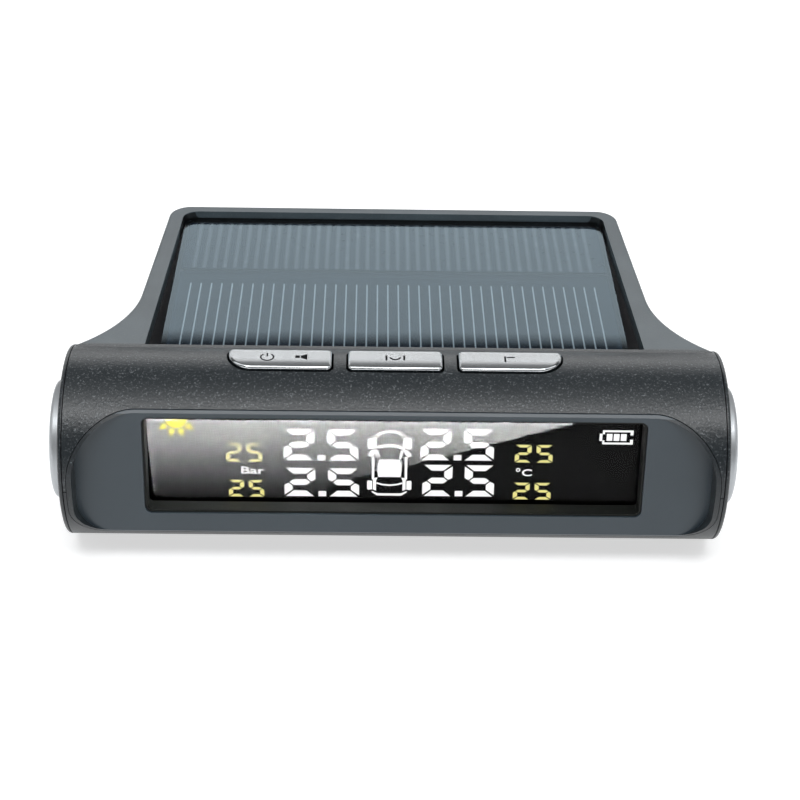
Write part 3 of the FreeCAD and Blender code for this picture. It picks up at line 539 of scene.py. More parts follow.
@dataclass(frozen=True)
class TurnedMetal(Finish):
    """A turned metal face: fine rings round an axis along X, with the disc's outer edge painted dark as
    shade.
    """

    colour: Colour
    axis_y: float
    axis_z: float
    edge_x: float
    pitch: float = 0.00022
    depth: float = 0.000006
    roughness: float = 0.42
    # painted shade: the dark outer edge of the disc
    edge_shade_colour: Colour = (0.02, 0.022, 0.024)
    unshaded_radius: float = 6.0 * MM
    blend: float = 0.1 * MM

    def surface(self, nodes: Nodes) -> Value:
        """Rings of uneven depth and sheen.

        Args:
            nodes: the nodes of the material.

        Returns:
            The shader.
        """
        place = nodes.place()
        x, y, z = nodes.axes(place)
        off_y = y - self.axis_y
        off_z = z - self.axis_z
        radius = (off_y * off_y + off_z * off_z).root()
        rings = (radius * (2 * math.pi / self.pitch)).sine() * 0.5 + 0.5
        worn = nodes.noise(place, 0.0016, 3.0)
        cloud = nodes.noise(place, 0.004, 2.0)
        tone = nodes.mix(cloud.ramp(0.3, 0.7) * 0.5, self.colour, tuple(c * 0.88 for c in self.colour))
        # painted shade: the disc's outer edge, beyond the unshaded radius, goes dark
        outside = abs(x).ramp(self.edge_x - self.blend / 2, self.edge_x + self.blend / 2)
        edge = outside * radius.ramp(self.unshaded_radius, self.unshaded_radius + self.blend)
        edge_shaded = nodes.mix(edge, tone, self.edge_shade_colour)
        rough = self.roughness + (worn - 0.5) * 0.16
        return nodes.principled(Base_Color=edge_shaded, Metallic=0.55, Roughness=rough,
                                Normal=nodes.bump(rings * worn, self.depth))


@dataclass(frozen=True)
class ClearSheet(Finish):
    """A clear sheet that mirrors on its outer face only, with faint handling haze."""

    normal: tuple[float, float, float]
    face: float
    ior: float
    roughness: float
    haze: float = 0.02
    tint: Colour = (1.0, 1.0, 1.0)

    def surface(self, nodes: Nodes) -> Value:
        """See-through, with a mirror share that grows at low angles.

        Args:
            nodes: the nodes of the material.

        Returns:
            The shader.
        """
        place = nodes.place()
        height = nodes.vector("DOT_PRODUCT", place, self.normal, out="Value")
        outer = height > self.face - 0.00005
        smear = nodes.noise(place, 0.004, 4.0)
        share = nodes.node("ShaderNodeFresnel", inputs={"IOR": self.ior}) * outer
        rough = self.roughness + smear.ramp(0.45, 0.8) * self.haze
        clear = nodes.node("ShaderNodeBsdfTransparent", inputs={"Color": self.tint})
        white = (1.0, 1.0, 1.0)
        mirror = nodes.node("ShaderNodeBsdfGlossy", inputs={"Color": white, "Roughness": rough})
        return nodes.node("ShaderNodeMixShader", inputs={0: share, 1: clear, 2: mirror})


@dataclass(frozen=True)
class SolarCells(Finish):
    """Dark silicon with printed silver fingers in two strips."""

    first_x: float
    last_x: float
    count: int
    gap_front: float
    gap_back: float
    back_end: float
    width: float = 0.00017
    silicon: Colour = (0.011, 0.016, 0.022)
    silver: Colour = (0.30, 0.35, 0.38)

    def surface(self, nodes: Nodes) -> Value:
        """Fingers across each strip, with faint crystal tone in the silicon.

        Args:
            nodes: the nodes of the material.

        Returns:
            The shader.
        """
        place = nodes.place()
        x, y, _ = nodes.axes(place)
        pitch = (self.last_x - self.first_x) / (self.count - 1)
        turn = ((x - self.first_x) / pitch + 0.5).fraction()
        aside = abs(turn - 0.5) * pitch
        inside = x.between(self.first_x - pitch / 2, self.last_x + pitch / 2)
        front = y < self.gap_front
        back = y.between(self.gap_back, self.back_end)
        crisp = 1 - aside.ramp(self.width * 0.35, self.width * 0.75)
        faint = 1 - aside.ramp(self.width * 0.6, self.width * 2.4)
        finger = inside * (front * crisp + back * faint * 0.2)
        flakes = nodes.noise(place, 0.0011, 3.0)
        tone = nodes.mix(flakes.ramp(0.3, 0.75), self.silicon, tuple(c * 1.9 for c in self.silicon))
        colour = nodes.mix(finger, tone, self.silver)
        rough = 0.22 + finger * 0.2 + (flakes - 0.5) * 0.12
        return nodes.principled(Base_Color=colour, Roughness=rough, Normal=nodes.bump(finger, 0.00001),
                                Specular_IOR_Level=0.1)


@dataclass(frozen=True)
class BoardMask(Finish):
    """A circuit board: solder mask over faint copper tracks."""

    colour: Colour = (0.006, 0.05, 0.028)
    tracks: float = 900.0

    def surface(self, nodes: Nodes) -> Value:
        """Blocky tracks that lift the mask a little.

        Args:
            nodes: the nodes of the material.

        Returns:
            The shader.
        """
        place = nodes.place()
        settings = {"feature": "F1", "distance": "CHEBYCHEV"}
        inputs = {"Vector": place, "Scale": self.tracks}
        tracks = nodes.node("ShaderNodeTexVoronoi", settings, inputs, "Distance")
        edge = tracks.ramp(0.32, 0.38)
        weave = nodes.noise(place, 0.0005, 2.0)
        light = tuple(c * 1.7 for c in self.colour)
        tone = nodes.mix(edge * 0.8 + (weave - 0.5) * 0.3, self.colour, light)
        return nodes.principled(Base_Color=tone, Roughness=0.35 + (weave - 0.5) * 0.2,
                                Normal=nodes.bump(edge, 0.00002))


@dataclass(frozen=True)
class Glow(Finish):
    """A lit display figure, a little uneven as a backlit segment is."""

    colour: Colour
    strength: float

    def surface(self, nodes: Nodes) -> Value:
        """Emission with a faint unevenness.

        Args:
            nodes: the nodes of the material.

        Returns:
            The shader.
        """
        uneven = nodes.noise(nodes.place(), 0.0009, 2.0)
        tone = nodes.mix((uneven - 0.35) * 0.35, self.colour, tuple(c * 0.8 for c in self.colour))
        return nodes.principled(Base_Color=(0.02, 0.02, 0.02), Roughness=0.5, Emission_Color=tone,
                                Emission_Strength=self.strength)


# ---------------------------------------------------------------- flat artwork


@dataclass
class Plane:
    """A flat place for artwork: an origin and two directions, all in the part's frame."""

    origin: Vector
    across: Vector
    up: Vector

    @property
    def out(self) -> Vector:
        """The way the plane faces."""
        return self.across.cross(self.up)

    def matrix(self) -> Matrix:
        """From the plane's own metres to the part's frame.

        Returns:
            The matrix.
        """
        grid = Matrix((self.across, self.up, self.out)).transposed().to_4x4()
        grid.translation = self.origin
        return grid


@dataclass(frozen=True)
class Word:
    """Plain lettering such as a unit, in millimetres."""

    text: str
    height: float
    at: Point
    stretch: float = 1.0

    def curve(self, name: str, thickness: float) -> bpy.types.Curve:
        """The lettering as a text curve of a thickness in metres.

        Args:
            name: its name.
            thickness: its thickness in metres.

        Returns:
            The curve.
        """
        made = bpy.data.curves.new(name, "FONT")
        made.body = self.text
        made.size = self.height * MM / CAPITAL_SHARE
        made.extrude = thickness / 2
        made.offset = BOLD * MM
        return made

    def matrix(self) -> Matrix:
        """Its place and stretch on the plane."""
        move = Matrix.Translation((self.at[0] * MM, self.at[1] * MM, 0.0))
        return move @ Matrix.Diagonal((self.stretch, 1, 1, 1))


class Artwork:
    """Flat closed outlines in millimetres, cut out of thin sheet."""

    def __init__(self) -> None:
        """Start with no outlines and no words."""
        self.outlines: list[Outline] = []
        self.words: list[Word] = []

    def add(self, *outlines: Outline) -> "Artwork":
        """Add closed outlines; one inside another is a hole."""
        self.outlines.extend(outlines)
        return self

    def band(self, spine: Outline, width: float) -> "Artwork":
        """Add a band of even width.

        Args:
            spine: the points along its middle.
            width: its width.

        Returns:
            This artwork.
        """
        left: Outline = []
        right: Outline = []
        for i, (x, y) in enumerate(spine):
            ahead = spine[min(i + 1, len(spine) - 1)]
            behind = spine[max(i - 1, 0)]
            run = math.hypot(ahead[0] - behind[0], ahead[1] - behind[1])
            nx = -(ahead[1] - behind[1]) / run * width / 2
            ny = (ahead[0] - behind[0]) / run * width / 2
            left.append((x + nx, y + ny))
            right.append((x - nx, y - ny))
        return self.add(left + right[::-1])

    def word(self, text: str, height: float, at: Point, stretch: float = 1.0) -> "Artwork":
        """Add plain lettering such as a unit.

        Args:
            text: the letters.
            height: the height of a capital.
            at: the lower left corner.
            stretch: how much wider it is than plain lettering.

        Returns:
            This artwork.
        """
        self.words.append(Word(text, height, at, stretch))
        return self

    def _line(self, name: str, thickness: float) -> bpy.types.Curve:
        """The outlines as one filled curve.

        Args:
            name: its name.
            thickness: its thickness in metres.

        Returns:
            The curve.
        """
        curve = bpy.data.curves.new(name, "CURVE")
        curve.dimensions = "2D"
        curve.fill_mode = "BOTH"
        curve.extrude = thickness / 2  # none for a flat sheet
        for outline in self.outlines:
            spline = curve.splines.new("POLY")
            spline.points.add(len(outline) - 1)
            for point, (x, y) in zip(spline.points, outline):
                point.co = (x * MM, y * MM, 0.0, 1.0)
            spline.use_cyclic_u = True
        return curve

    def piece(self, name: str, plane: Plane, thickness: float) -> bpy.types.Object:
        """Cut the artwork out.

        Args:
            name: the piece's name.
            plane: where it lies; its lower face is on the plane.
            thickness: how thick it is, in metres.

        Returns:
            The mesh object, in place.
        """
        build = bmesh.new()
        sources = [(self._line(name + "_line", thickness), Matrix())] if self.outlines else []
        sources += [(word.curve(name + "_word", thickness), word.matrix()) for word in self.words]
        for source, matrix in sources:
            carrier = bpy.data.objects.new(name + "_carrier", source)
            bpy.context.scene.collection.objects.link(carrier)
            bpy.context.view_layer.update()
            carried = carrier.evaluated_get(bpy.context.evaluated_depsgraph_get())
            shape = bpy.data.meshes.new_from_object(carried)
            shape.transform(matrix)
            build.from_mesh(shape)
            bpy.data.objects.remove(carrier)
            bpy.data.meshes.remove(shape)
        bmesh.ops.remove_doubles(build, verts=build.verts, dist=WELD)
        bmesh.ops.translate(build, verts=build.verts, vec=(0.0, 0.0, thickness / 2))
        bmesh.ops.transform(build, matrix=plane.matrix(), verts=build.verts)
        bmesh.ops.recalc_face_normals(build, faces=build.faces)
        mesh = bpy.data.meshes.new(name)
        build.to_mesh(mesh)
        build.free()
        made = bpy.data.objects.new(name, mesh)
        bpy.context.scene.collection.objects.link(made)
        return made


def circle(x: float, y: float, radius: float, start: float = 0.0, stop: float = 360.0) -> Outline:
    """Points round a circle or part of one.

    Args:
        x: the centre across.
        y: the centre up.
        radius: its radius.
        start: the first point's turn in degrees.
        stop: the last point's turn in degrees.

    Returns:
        The points.
    """
    whole = abs(stop - start) >= 360
    steps = max(4, int(abs(stop - start) / ARC_STEP))
    count = steps if whole else steps + 1
    turns = [math.radians(start + (stop - start) * i / steps) for i in range(count)]
    return [(x + radius * math.cos(t), y + radius * math.sin(t)) for t in turns]


def block(x0: float, y0: float, x1: float, y1: float, corner: float = 0.0) -> Outline:
    """A rectangle, its corners rounded if wanted.

    Args:
        x0: the left side.
        y0: the lower side.
        x1: the right side.
        y1: the upper side.
        corner: the radius of its corners.

    Returns:
        Its points.
    """
    if corner <= 0:
        return [(x0, y0), (x1, y0), (x1, y1), (x0, y1)]
    centres = [(x0, y0, 180), (x1, y0, 270), (x1, y1, 0), (x0, y1, 90)]
    points: Outline = []
    for x, y, turn in centres:
        cx = x + corner if x == x0 else x - corner
        cy = y + corner if y == y0 else y - corner
        points += circle(cx, cy, corner, turn, turn + 90)
    return points


class Segment(Enum):
    """The seven segments of a display digit."""

    TOP = "a"
    UPPER_RIGHT = "b"
    LOWER_RIGHT = "c"
    BOTTOM = "d"
    LOWER_LEFT = "e"
    UPPER_LEFT = "f"
    MIDDLE = "g"


DIGIT_SEGMENTS = {
    "2": (Segment.TOP, Segment.UPPER_RIGHT, Segment.MIDDLE, Segment.LOWER_LEFT, Segment.BOTTOM),
    "5": (Segment.TOP, Segment.UPPER_LEFT, Segment.MIDDLE, Segment.LOWER_RIGHT, Segment.BOTTOM),
}


@dataclass
class DigitShape:
    """The outline of one seven-segment digit, in millimetres."""

    width: float
    height: float
    stroke_x: float
    stroke_y: float
    gap: float

    def segment(self, which: Segment) -> Outline:
        """One segment's outline from the digit's lower left corner.

        Args:
            which: the segment wanted.

        Returns:
            Its points.
        """
        w, h, sx, sy, g = self.width, self.height, self.stroke_x, self.stroke_y, self.gap
        m = h / 2
        shapes = {
            Segment.TOP: [(g, h), (w - g, h), (w - sx - g / 2, h - sy), (sx + g / 2, h - sy)],
            Segment.BOTTOM: [(sx + g / 2, sy), (w - sx - g / 2, sy), (w - g, 0), (g, 0)],
            Segment.MIDDLE: [(sx * 0.62, m), (sx + g / 2, m + sy / 2), (w - sx - g / 2, m + sy / 2),
                             (w - sx * 0.62, m), (w - sx - g / 2, m - sy / 2), (sx + g / 2, m - sy / 2)],
            Segment.UPPER_RIGHT: [(w, h - g), (w - sx, h - sy - g * 0.7), (w - sx, m + sy / 2 + g * 0.7),
                                  (w - sx * 0.5, m + g * 0.6), (w, m + g + sy * 0.25)],
            Segment.LOWER_RIGHT: [(w, g), (w, m - g - sy * 0.25), (w - sx * 0.5, m - g * 0.6),
                                  (w - sx, m - sy / 2 - g * 0.7), (w - sx, sy + g * 0.7)],
            Segment.UPPER_LEFT: [(0, h - g), (0, m + g + sy * 0.25), (sx * 0.5, m + g * 0.6),
                                 (sx, m + sy / 2 + g * 0.7), (sx, h - sy - g * 0.7)],
            Segment.LOWER_LEFT: [(0, g), (sx, sy + g * 0.7), (sx, m - sy / 2 - g * 0.7),
                                 (sx * 0.5, m - g * 0.6), (0, m - g - sy * 0.25)],
        }
        return shapes[which]

    def digit(self, character: str, at: Point) -> list[Outline]:
        """A digit's lit segments, from its lower left corner."""
        lit = [self.segment(which) for which in DIGIT_SEGMENTS[character]]
        return [[(x + at[0], y + at[1]) for x, y in outline] for outline in lit]


# ---------------------------------------------------------------- the part's own frame


class Frame:
    """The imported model, and the places that the looks are built from."""

    def __init__(self, loaded: dict[str, Any]) -> None:
        """Read the barrel's axis and the display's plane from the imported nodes.
        """
        self.nodes: dict[str, bpy.types.Object] = loaded["nodes"]
        low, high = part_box("left_disc")
        self.axis = Vector((0.0, (low.y + high.y) / 2, (low.z + high.z) / 2))
        self.facet_out = self._flat_normal("display_window")
        self.facet_up = Vector((1.0, 0.0, 0.0)).cross(self.facet_out) * -1
        self.glass_face = self.reach("display_window")
        self.deck_out = self._flat_normal("panel_cover", upward=True)
        self.cover_face = self.reach("panel_cover", self.deck_out)

    def _flat_normal(self, node: str, upward: bool = False) -> Vector:
        """The way a flat plate faces: its largest faces' normal, towards -Y, or up if asked.

        Args:
            node: the node's name.
            upward: whether it faces up.

        Returns:
            The normal.
        """
        largest = max(self.nodes[node].data.polygons, key=lambda face: face.area)
        normal = largest.normal.copy()
        wrong = normal.z < 0 if upward else normal.y > 0
        return -normal if wrong else normal

    def reach(self, node: str, way: Vector | None = None) -> float:
        """How far a node goes along a direction, the display's own if none is given."""
        way = way or self.facet_out
        return max(vertex.co.dot(way) for vertex in self.nodes[node].data.vertices)

    def well(self) -> Well:
        """The tray round the panel, from the panel's own outline and the deck's rim.

        Returns:
            The tray.
        """
        panel = [vertex.co for vertex in self.nodes["panel_cover"].data.vertices]
        low, high = min(p.y for p in panel), max(p.y for p in panel)
        inset = 4 * MM
        front = max((p.x, p.y) for p in panel if p.y < low + inset)
        back = max((p.x, p.y) for p in panel if p.y > high - inset)
        shell = self.nodes["upper_shell"].data.vertices
        rim = max(v.co.dot(self.deck_out) for v in shell if v.co.y > high)
        return Well(tuple(self.deck_out), rim, (front[1], front[0]), (high, back[0]))

    def facet_plane(self, reach: float) -> Plane:
        """A plane parallel to the display, level with the barrel's axis.

        Args:
            reach: how far it stands along the display's normal.

        Returns:
            The plane, whose origin is in line with the axis.
        """
        origin = self.axis + self.facet_out * (reach - self.axis.dot(self.facet_out))
        return Plane(origin, Vector((1.0, 0.0, 0.0)), self.facet_up)

    def group(self, *names: str) -> list[bpy.types.Object]:
        """The CAD nodes of those names."""
        return [self.nodes[name] for name in names]


def settle(piece: bpy.types.Object, body: str) -> bpy.types.Object:
    """Let a piece ride on a body, and report it.

    Args:
        piece: the piece.
        body: the body's name.

    Returns:
        The piece.
    """
    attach(piece, body)
    LOG.info("built %s on %s", piece.name, body)
    return piece


# ---------------------------------------------------------------- sub-assemblies


@dataclass
class Case:
    """Shells, end caps, bezel, side discs, screws and pad."""

    frame: Frame
    shell_colour: Colour = (0.014, 0.018, 0.021)
    # painted light: the deck's lighter colour stands in for light on its upward face
    deck_painted_light_colour: Colour = (0.054, 0.072, 0.083)
    bezel_colour: Colour = (0.034, 0.048, 0.060)
    parting_lift: float = 0.5 * MM
    ridge_lead: float = 0.9 * MM
    bezel_depth: float = 2.5 * MM
    disc_edge: float = 0.3 * MM

    def dress(self) -> None:
        """Give the case its plastics and metals."""
        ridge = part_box("solar_cells")[0].y - self.ridge_lead
        shell = CaseShell("case_shell", self.shell_colour, self.deck_painted_light_colour, ridge,
                          self.frame.axis.z + self.parting_lift, self.frame.well())
        shell.dress(*self.frame.group("upper_shell", "lower_shell", "left_end_cap", "right_end_cap"))
        face = self.frame.glass_face + self.bezel_depth
        out = tuple(self.frame.facet_out)
        # the barrel's colour goes to the bezel's rim, where on the step wall it is painted shade
        BezelFace("bezel_satin", self.bezel_colour, self.shell_colour, out, face).dress(
            *self.frame.group("front_bezel"))
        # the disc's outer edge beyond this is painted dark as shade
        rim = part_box("right_disc")[1].x - self.disc_edge
        TurnedMetal("disc_silver", (0.50, 0.52, 0.54), self.frame.axis.y, self.frame.axis.z, rim).dress(
            *self.frame.group("left_disc", "right_disc"))
        Metal("screw_steel", (0.55, 0.56, 0.58), 0.3).dress(
            *self.frame.group("case_screws", "board_screws"))
        Moulded("pad_rubber", (0.02, 0.02, 0.021), 0.75, 0.0006, 0.00008, 0.2, 0.2).dress(
            *self.frame.group("base_pad"))
        LOG.info("dressed the case")


@dataclass
class Display:
    """The liquid crystal module and the figures that it shows."""

    frame: Frame
    body: str = "case"
    slot: str = "lcd_glass"
    thickness: float = 0.010 * MM
    lift: float = 0.004 * MM
    top_edge: float = 8.054
    white: Colour = (1.0, 1.0, 1.0)
    yellow: Colour = (0.80, 0.74, 0.26)
    sun_yellow: Colour = (0.95, 0.88, 0.10)
    sight_drop: float = 0.41
    sun_centre: Point = (-26.37, 1.98)
    sun_rays: tuple[int, ...] = (-54, -18, 18, 54)
    degree_ring: Point = (15.2, 8.6)
    charge_box: tuple[float, float, float, float] = (25.25, 2.98, 28.98, 4.92)
    car_nose: Point = (-0.54, 3.41)
    pressure_unit: Point = (-18.78, 9.47)
    celsius: Point = (15.62, 9.42)
    pressures: dict[str, tuple[float, float, float, float]] = field(default_factory=lambda: {
        "front_left": (-13.45, 3.26, -4.39, 7.55),
        "rear_left": (-13.39, 8.62, -4.24, 12.58),
        "front_right": (3.17, 3.06, 12.14, 7.35),
        "rear_right": (3.52, 8.01, 12.33, 12.39),
    })
    temperatures: dict[str, tuple[float, float, float, float]] = field(default_factory=lambda: {
        "front_left": (-20.47, 5.25, -16.05, 7.82),
        "rear_left": (-20.23, 10.38, -15.88, 12.72),
        "front_right": (14.72, 5.11, 19.33, 7.55),
        "rear_right": (14.70, 10.39, 19.35, 12.74),
    })

    def dress(self) -> None:
        """Give each layer of the module its finish."""
        out = tuple(self.frame.facet_out)
        ClearSheet("window_clear", out, self.frame.glass_face, 1.17, 0.003, 0.003).dress(
            *self.frame.group("display_window"))
        # painted shade: the display frame's lining up the window opening's walls is near-black, standing
        # in for those walls in shade; the rest of the frame and the buzzer take the same black plastic
        Moulded("frame_black", (0.006, 0.007, 0.006), 0.62, 0.0004, 0.00001, 0.2, 0.2, 0.3).dress(
            *self.frame.group("display_frame", "buzzer"))
        Moulded("polariser_film", (0.0010, 0.0010, 0.0012), 0.5, 0.0004, 0.000001, 0.1, 0.2, 0.03).dress(
            *self.frame.group("front_polariser", "rear_polariser"))
        Moulded("cell_glass", (0.012, 0.013, 0.013), 0.12, 0.0008, 0.000001, 0.1, 0.2).dress(
            *self.frame.group("lcd_cell"))
        Moulded("guide_acrylic", (0.75, 0.77, 0.78), 0.2, 0.0006, 0.000004, 0.03, 0.05).dress(
            *self.frame.group("diffuser", "light_guide"))
        Moulded("led_resin", (0.8, 0.78, 0.6), 0.3, 0.0005, 0.000003, 0.05, 0.1).dress(
            *self.frame.group("backlight_leds"))
        Moulded("flex_film", (0.28, 0.12, 0.02), 0.3, 0.0004, 0.000003, 0.08, 0.15).dress(
            *self.frame.group("display_flex"))
        LOG.info("dressed the display")

    def plane(self) -> Plane:
        """Just in front of the front polariser, behind the window."""
        return self.frame.facet_plane(self.frame.reach("front_polariser") + self.lift)

    def height(self, drop: float) -> float:
        """The height on the plane of a drop from the bezel's top edge, as seen through the window."""
        return self.top_edge - drop - self.sight_drop

    def piece(self, name: str, art: Artwork, colour: Colour, strength: float = 1.0) -> None:
        """Cut a lit figure out and let it ride.

        Args:
            name: the piece's name.
            art: its outlines, in millimetres.
            colour: the light's colour.
            strength: how bright it is.
        """
        made = art.piece(name, self.plane(), self.thickness)
        label = {self.white: "figure_white", self.yellow: "figure_yellow"}.get(colour, "figure_sun")
        Glow(label, colour, strength).dress(made)
        settle(made, self.body)

    def pair(self, shape: DigitShape, left: float, right: float, base: float) -> Artwork:
        """A 2 at the left end and a 5 at the right end.

        Args:
            shape: the digits' shape.
            left: the left end.
            right: the right end.
            base: the height of their feet.

        Returns:
            The two digits.
        """
        five = (right - shape.width, base)
        return Artwork().add(*shape.digit("2", (left, base)), *shape.digit("5", five))

    def figures(self) -> None:
        """Pressures as large digits with a point, temperatures as small ones."""
        for place, (left, top, right, low) in self.pressures.items():
            wide = right - left
            tall = low - top
            shape = DigitShape(0.415 * wide, tall, 1.0, 0.8, 0.2)
            base = self.height(low)
            point = (left + 0.455 * wide, base)
            art = self.pair(shape, left, right, base)
            art.add(block(point[0], base, point[0] + 0.95, base + 0.75))
            self.piece(f"pressure_{place}", art, self.white)
        for place, (left, top, right, low) in self.temperatures.items():
            wide = right - left
            shape = DigitShape(0.435 * wide, low - top, 0.52, 0.36, 0.12)
            base = self.height(low)
            art = self.pair(shape, left, right, base)
            self.piece(f"temperature_{place}", art, self.yellow)

    def units(self) -> None:
        """The pressure and temperature units."""
        at = (self.pressure_unit[0], self.height(self.pressure_unit[1]))
        pressure = Artwork().word("Bar", 1.0, at, 1.55)
        self.piece("unit_pressure", pressure, self.white)
        centre = (self.degree_ring[0], self.height(self.degree_ring[1]))
        ring = Artwork().add(circle(*centre, 0.27), circle(*centre, 0.13))
        ring.word("C", 0.95, (self.celsius[0], self.height(self.celsius[1])), 1.45)
        self.piece("unit_temperature", ring, self.white)

    def sun_art(self, lift: float = 0.0) -> Artwork:
        """Half a sun with four rays, below the window's top edge.

        Args:
            lift: how much higher it is cut, in millimetres.

        Returns:
            The sun.
        """
        x = self.sun_centre[0]
        y = self.height(self.sun_centre[1]) + lift
        art = Artwork().add(circle(x, y, 1.35, 180, 360))
        kite = [(1.52, -0.36), (1.52, 0.36), (1.85, 0.40), (2.62, 0.0), (1.85, -0.40)]
        for turn in self.sun_rays:
            down = math.radians(turn - 90)
            along = (math.cos(down), math.sin(down))
            side = (-along[1], along[0])
            art.add([(x + r * along[0] + s * side[0], y + r * along[1] + s * side[1])
                     for r, s in kite])
        return art

    def battery_mark(self) -> None:
        """A charge mark: an open outline with a terminal and three bars."""
        left, top, right, low = self.charge_box
        top, low = self.height(top), self.height(low)
        line, wall, slit, notch = 0.26, 0.36, 0.3, 0.42
        mid = (top + low) / 2
        inner = right - wall
        art = Artwork().add([
            (left, top), (right, top), (right, mid + slit), (inner, mid + slit), (inner, top - line),
            (left + line, top - line), (left + line, mid + notch), (left, mid + notch)])
        art.add([
            (left, low), (left, mid - notch), (left + line, mid - notch), (left + line, low + line),
            (inner, low + line), (inner, mid - slit), (right, mid - slit), (right, low)])
        art.add(block(left - wall, mid - 0.5, left - 0.02, mid + 0.5))
        bar, tall, pitch, bars = 0.70, 0.47, 0.86, 3
        for i in range(bars):
            start = left + 0.5 + i * pitch
            art.add(block(start, mid - tall, start + bar, mid + tall))
        self.piece("charge_mark", art, self.white)

    def car(self) -> None:
        """A small car seen from above."""
        x = self.car_nose[0]
        top = self.height(self.car_nose[1])

        def at(across: float, down: float) -> Point:
            """A point from the car's centre line and its nose, in millimetres."""
            return (x + across, top - down)

        art = Artwork()
        nose = [(-1.42, 0.55), (-1.05, 0.26), (-0.55, 0.09), (0.0, 0.03), (0.55, 0.09),
                (1.05, 0.26), (1.42, 0.55)]
        art.band([at(*p) for p in nose], 0.27)
        hood = [(-1.74, 2.45), (-1.2, 2.17), (-0.6, 2.02), (0.0, 1.98), (0.6, 2.02),
                (1.2, 2.17), (1.74, 2.45)]
        art.band([at(*p) for p in hood], 0.38)
        for side in (-1, 1):
            art.band([at(side * 1.32, 0.5), at(side * 1.62, 0.95)], 0.13)
            art.band([at(side * 1.62, 0.42), at(side * 1.98, 0.88)], 0.13)
            wheel = [(1.60, 1.02), (2.62, 0.96), (2.70, 1.10), (2.70, 2.36), (2.58, 2.48),
                     (2.02, 2.42), (1.60, 2.12)]
            art.add([at(side * a, d) for a, d in wheel])
            mirror = [(1.70, 2.52), (2.14, 2.60), (2.76, 3.36), (2.50, 3.52), (2.14, 3.50),
                      (1.86, 3.1), (1.62, 2.7)]
            art.add([at(side * a, d) for a, d in mirror])
            pillar = [(1.42, 2.62), (1.72, 2.78), (1.36, 3.86), (1.12, 3.86)]
            art.add([at(side * a, d) for a, d in pillar])
            flank = [(1.84, 3.54), (2.16, 3.54), (2.16, 6.62), (2.06, 6.76), (1.86, 6.52)]
            art.add([at(side * a, d) for a, d in flank])
            rear = [(1.44, 6.44), (1.84, 6.50), (2.04, 6.78), (2.0, 6.9), (2.02, 8.12),
                    (1.62, 8.30), (1.62, 6.86)]
            art.add([at(side * a, d) for a, d in rear])
            hub = [(2.10, 6.92), (2.62, 6.86), (2.72, 7.0), (2.72, 8.02), (2.60, 8.18), (2.10, 8.10)]
            art.add([at(side * a, d) for a, d in hub])
        roof = [(-1.22, 3.92), (1.22, 3.92), (1.44, 4.6), (1.50, 5.3), (1.38, 6.36),
                (-1.38, 6.36), (-1.50, 5.3), (-1.44, 4.6)]
        art.add([at(*p) for p in roof])
        boot = [(-1.58, 7.20), (-0.9, 7.42), (0.0, 7.52), (0.9, 7.42), (1.58, 7.20)]
        art.band([at(*p) for p in boot], 0.22)
        tail = [(-2.15, 8.32), (-1.4, 8.66), (1.4, 8.66), (2.15, 8.32), (2.15, 8.5),
                (1.5, 8.98), (-1.5, 8.98), (-2.15, 8.5)]
        art.add([at(*p) for p in tail])
        self.piece("car_mark", art, self.white)

    def build(self) -> None:
        """Dress the module and make every figure."""
        self.dress()
        self.figures()
        self.units()
        self.piece("sun_mark", self.sun_art(), self.sun_yellow)
        self.battery_mark()
        self.car()


@dataclass
class SolarPanel:
    """The panel on the deck: board, cells, cover, seal and tape."""

    frame: Frame
    first_finger: float = -26.8 * MM
    last_finger: float = 26.5 * MM
    fingers: int = 40
    gap_front: float = 24.1 * MM
    gap_back: float = 28.6 * MM
    strip_end: float = 42.65 * MM

    def dress(self) -> None:
        """Give each layer its finish; strips are measured back from the barrel's axis."""
        axis = self.frame.axis.y
        SolarCells("solar_cells", self.first_finger, self.last_finger, self.fingers,
                   axis + self.gap_front, axis + self.gap_back, axis + self.strip_end).dress(
            *self.frame.group("solar_cells"))
        ClearSheet("panel_cover", tuple(self.frame.deck_out), self.frame.cover_face, 1.5, 0.09, 0.03,
                   (0.93, 0.96, 0.98)).dress(*self.frame.group("panel_cover"))
        # painted shade: a near-black seal fills the gap round the panel, standing in for the gap's shade
        Moulded("panel_sealant", (0.004, 0.004, 0.005), 0.45, 0.0009, 0.00002, 0.1, 0.1).dress(
            *self.frame.group("panel_seal"))
        Moulded("tape_foam", (0.05, 0.05, 0.052), 0.85, 0.0003, 0.00006, 0.3, 0.2).dress(
            *self.frame.group("panel_tape", "battery_tape"))
        LOG.info("dressed the solar panel")


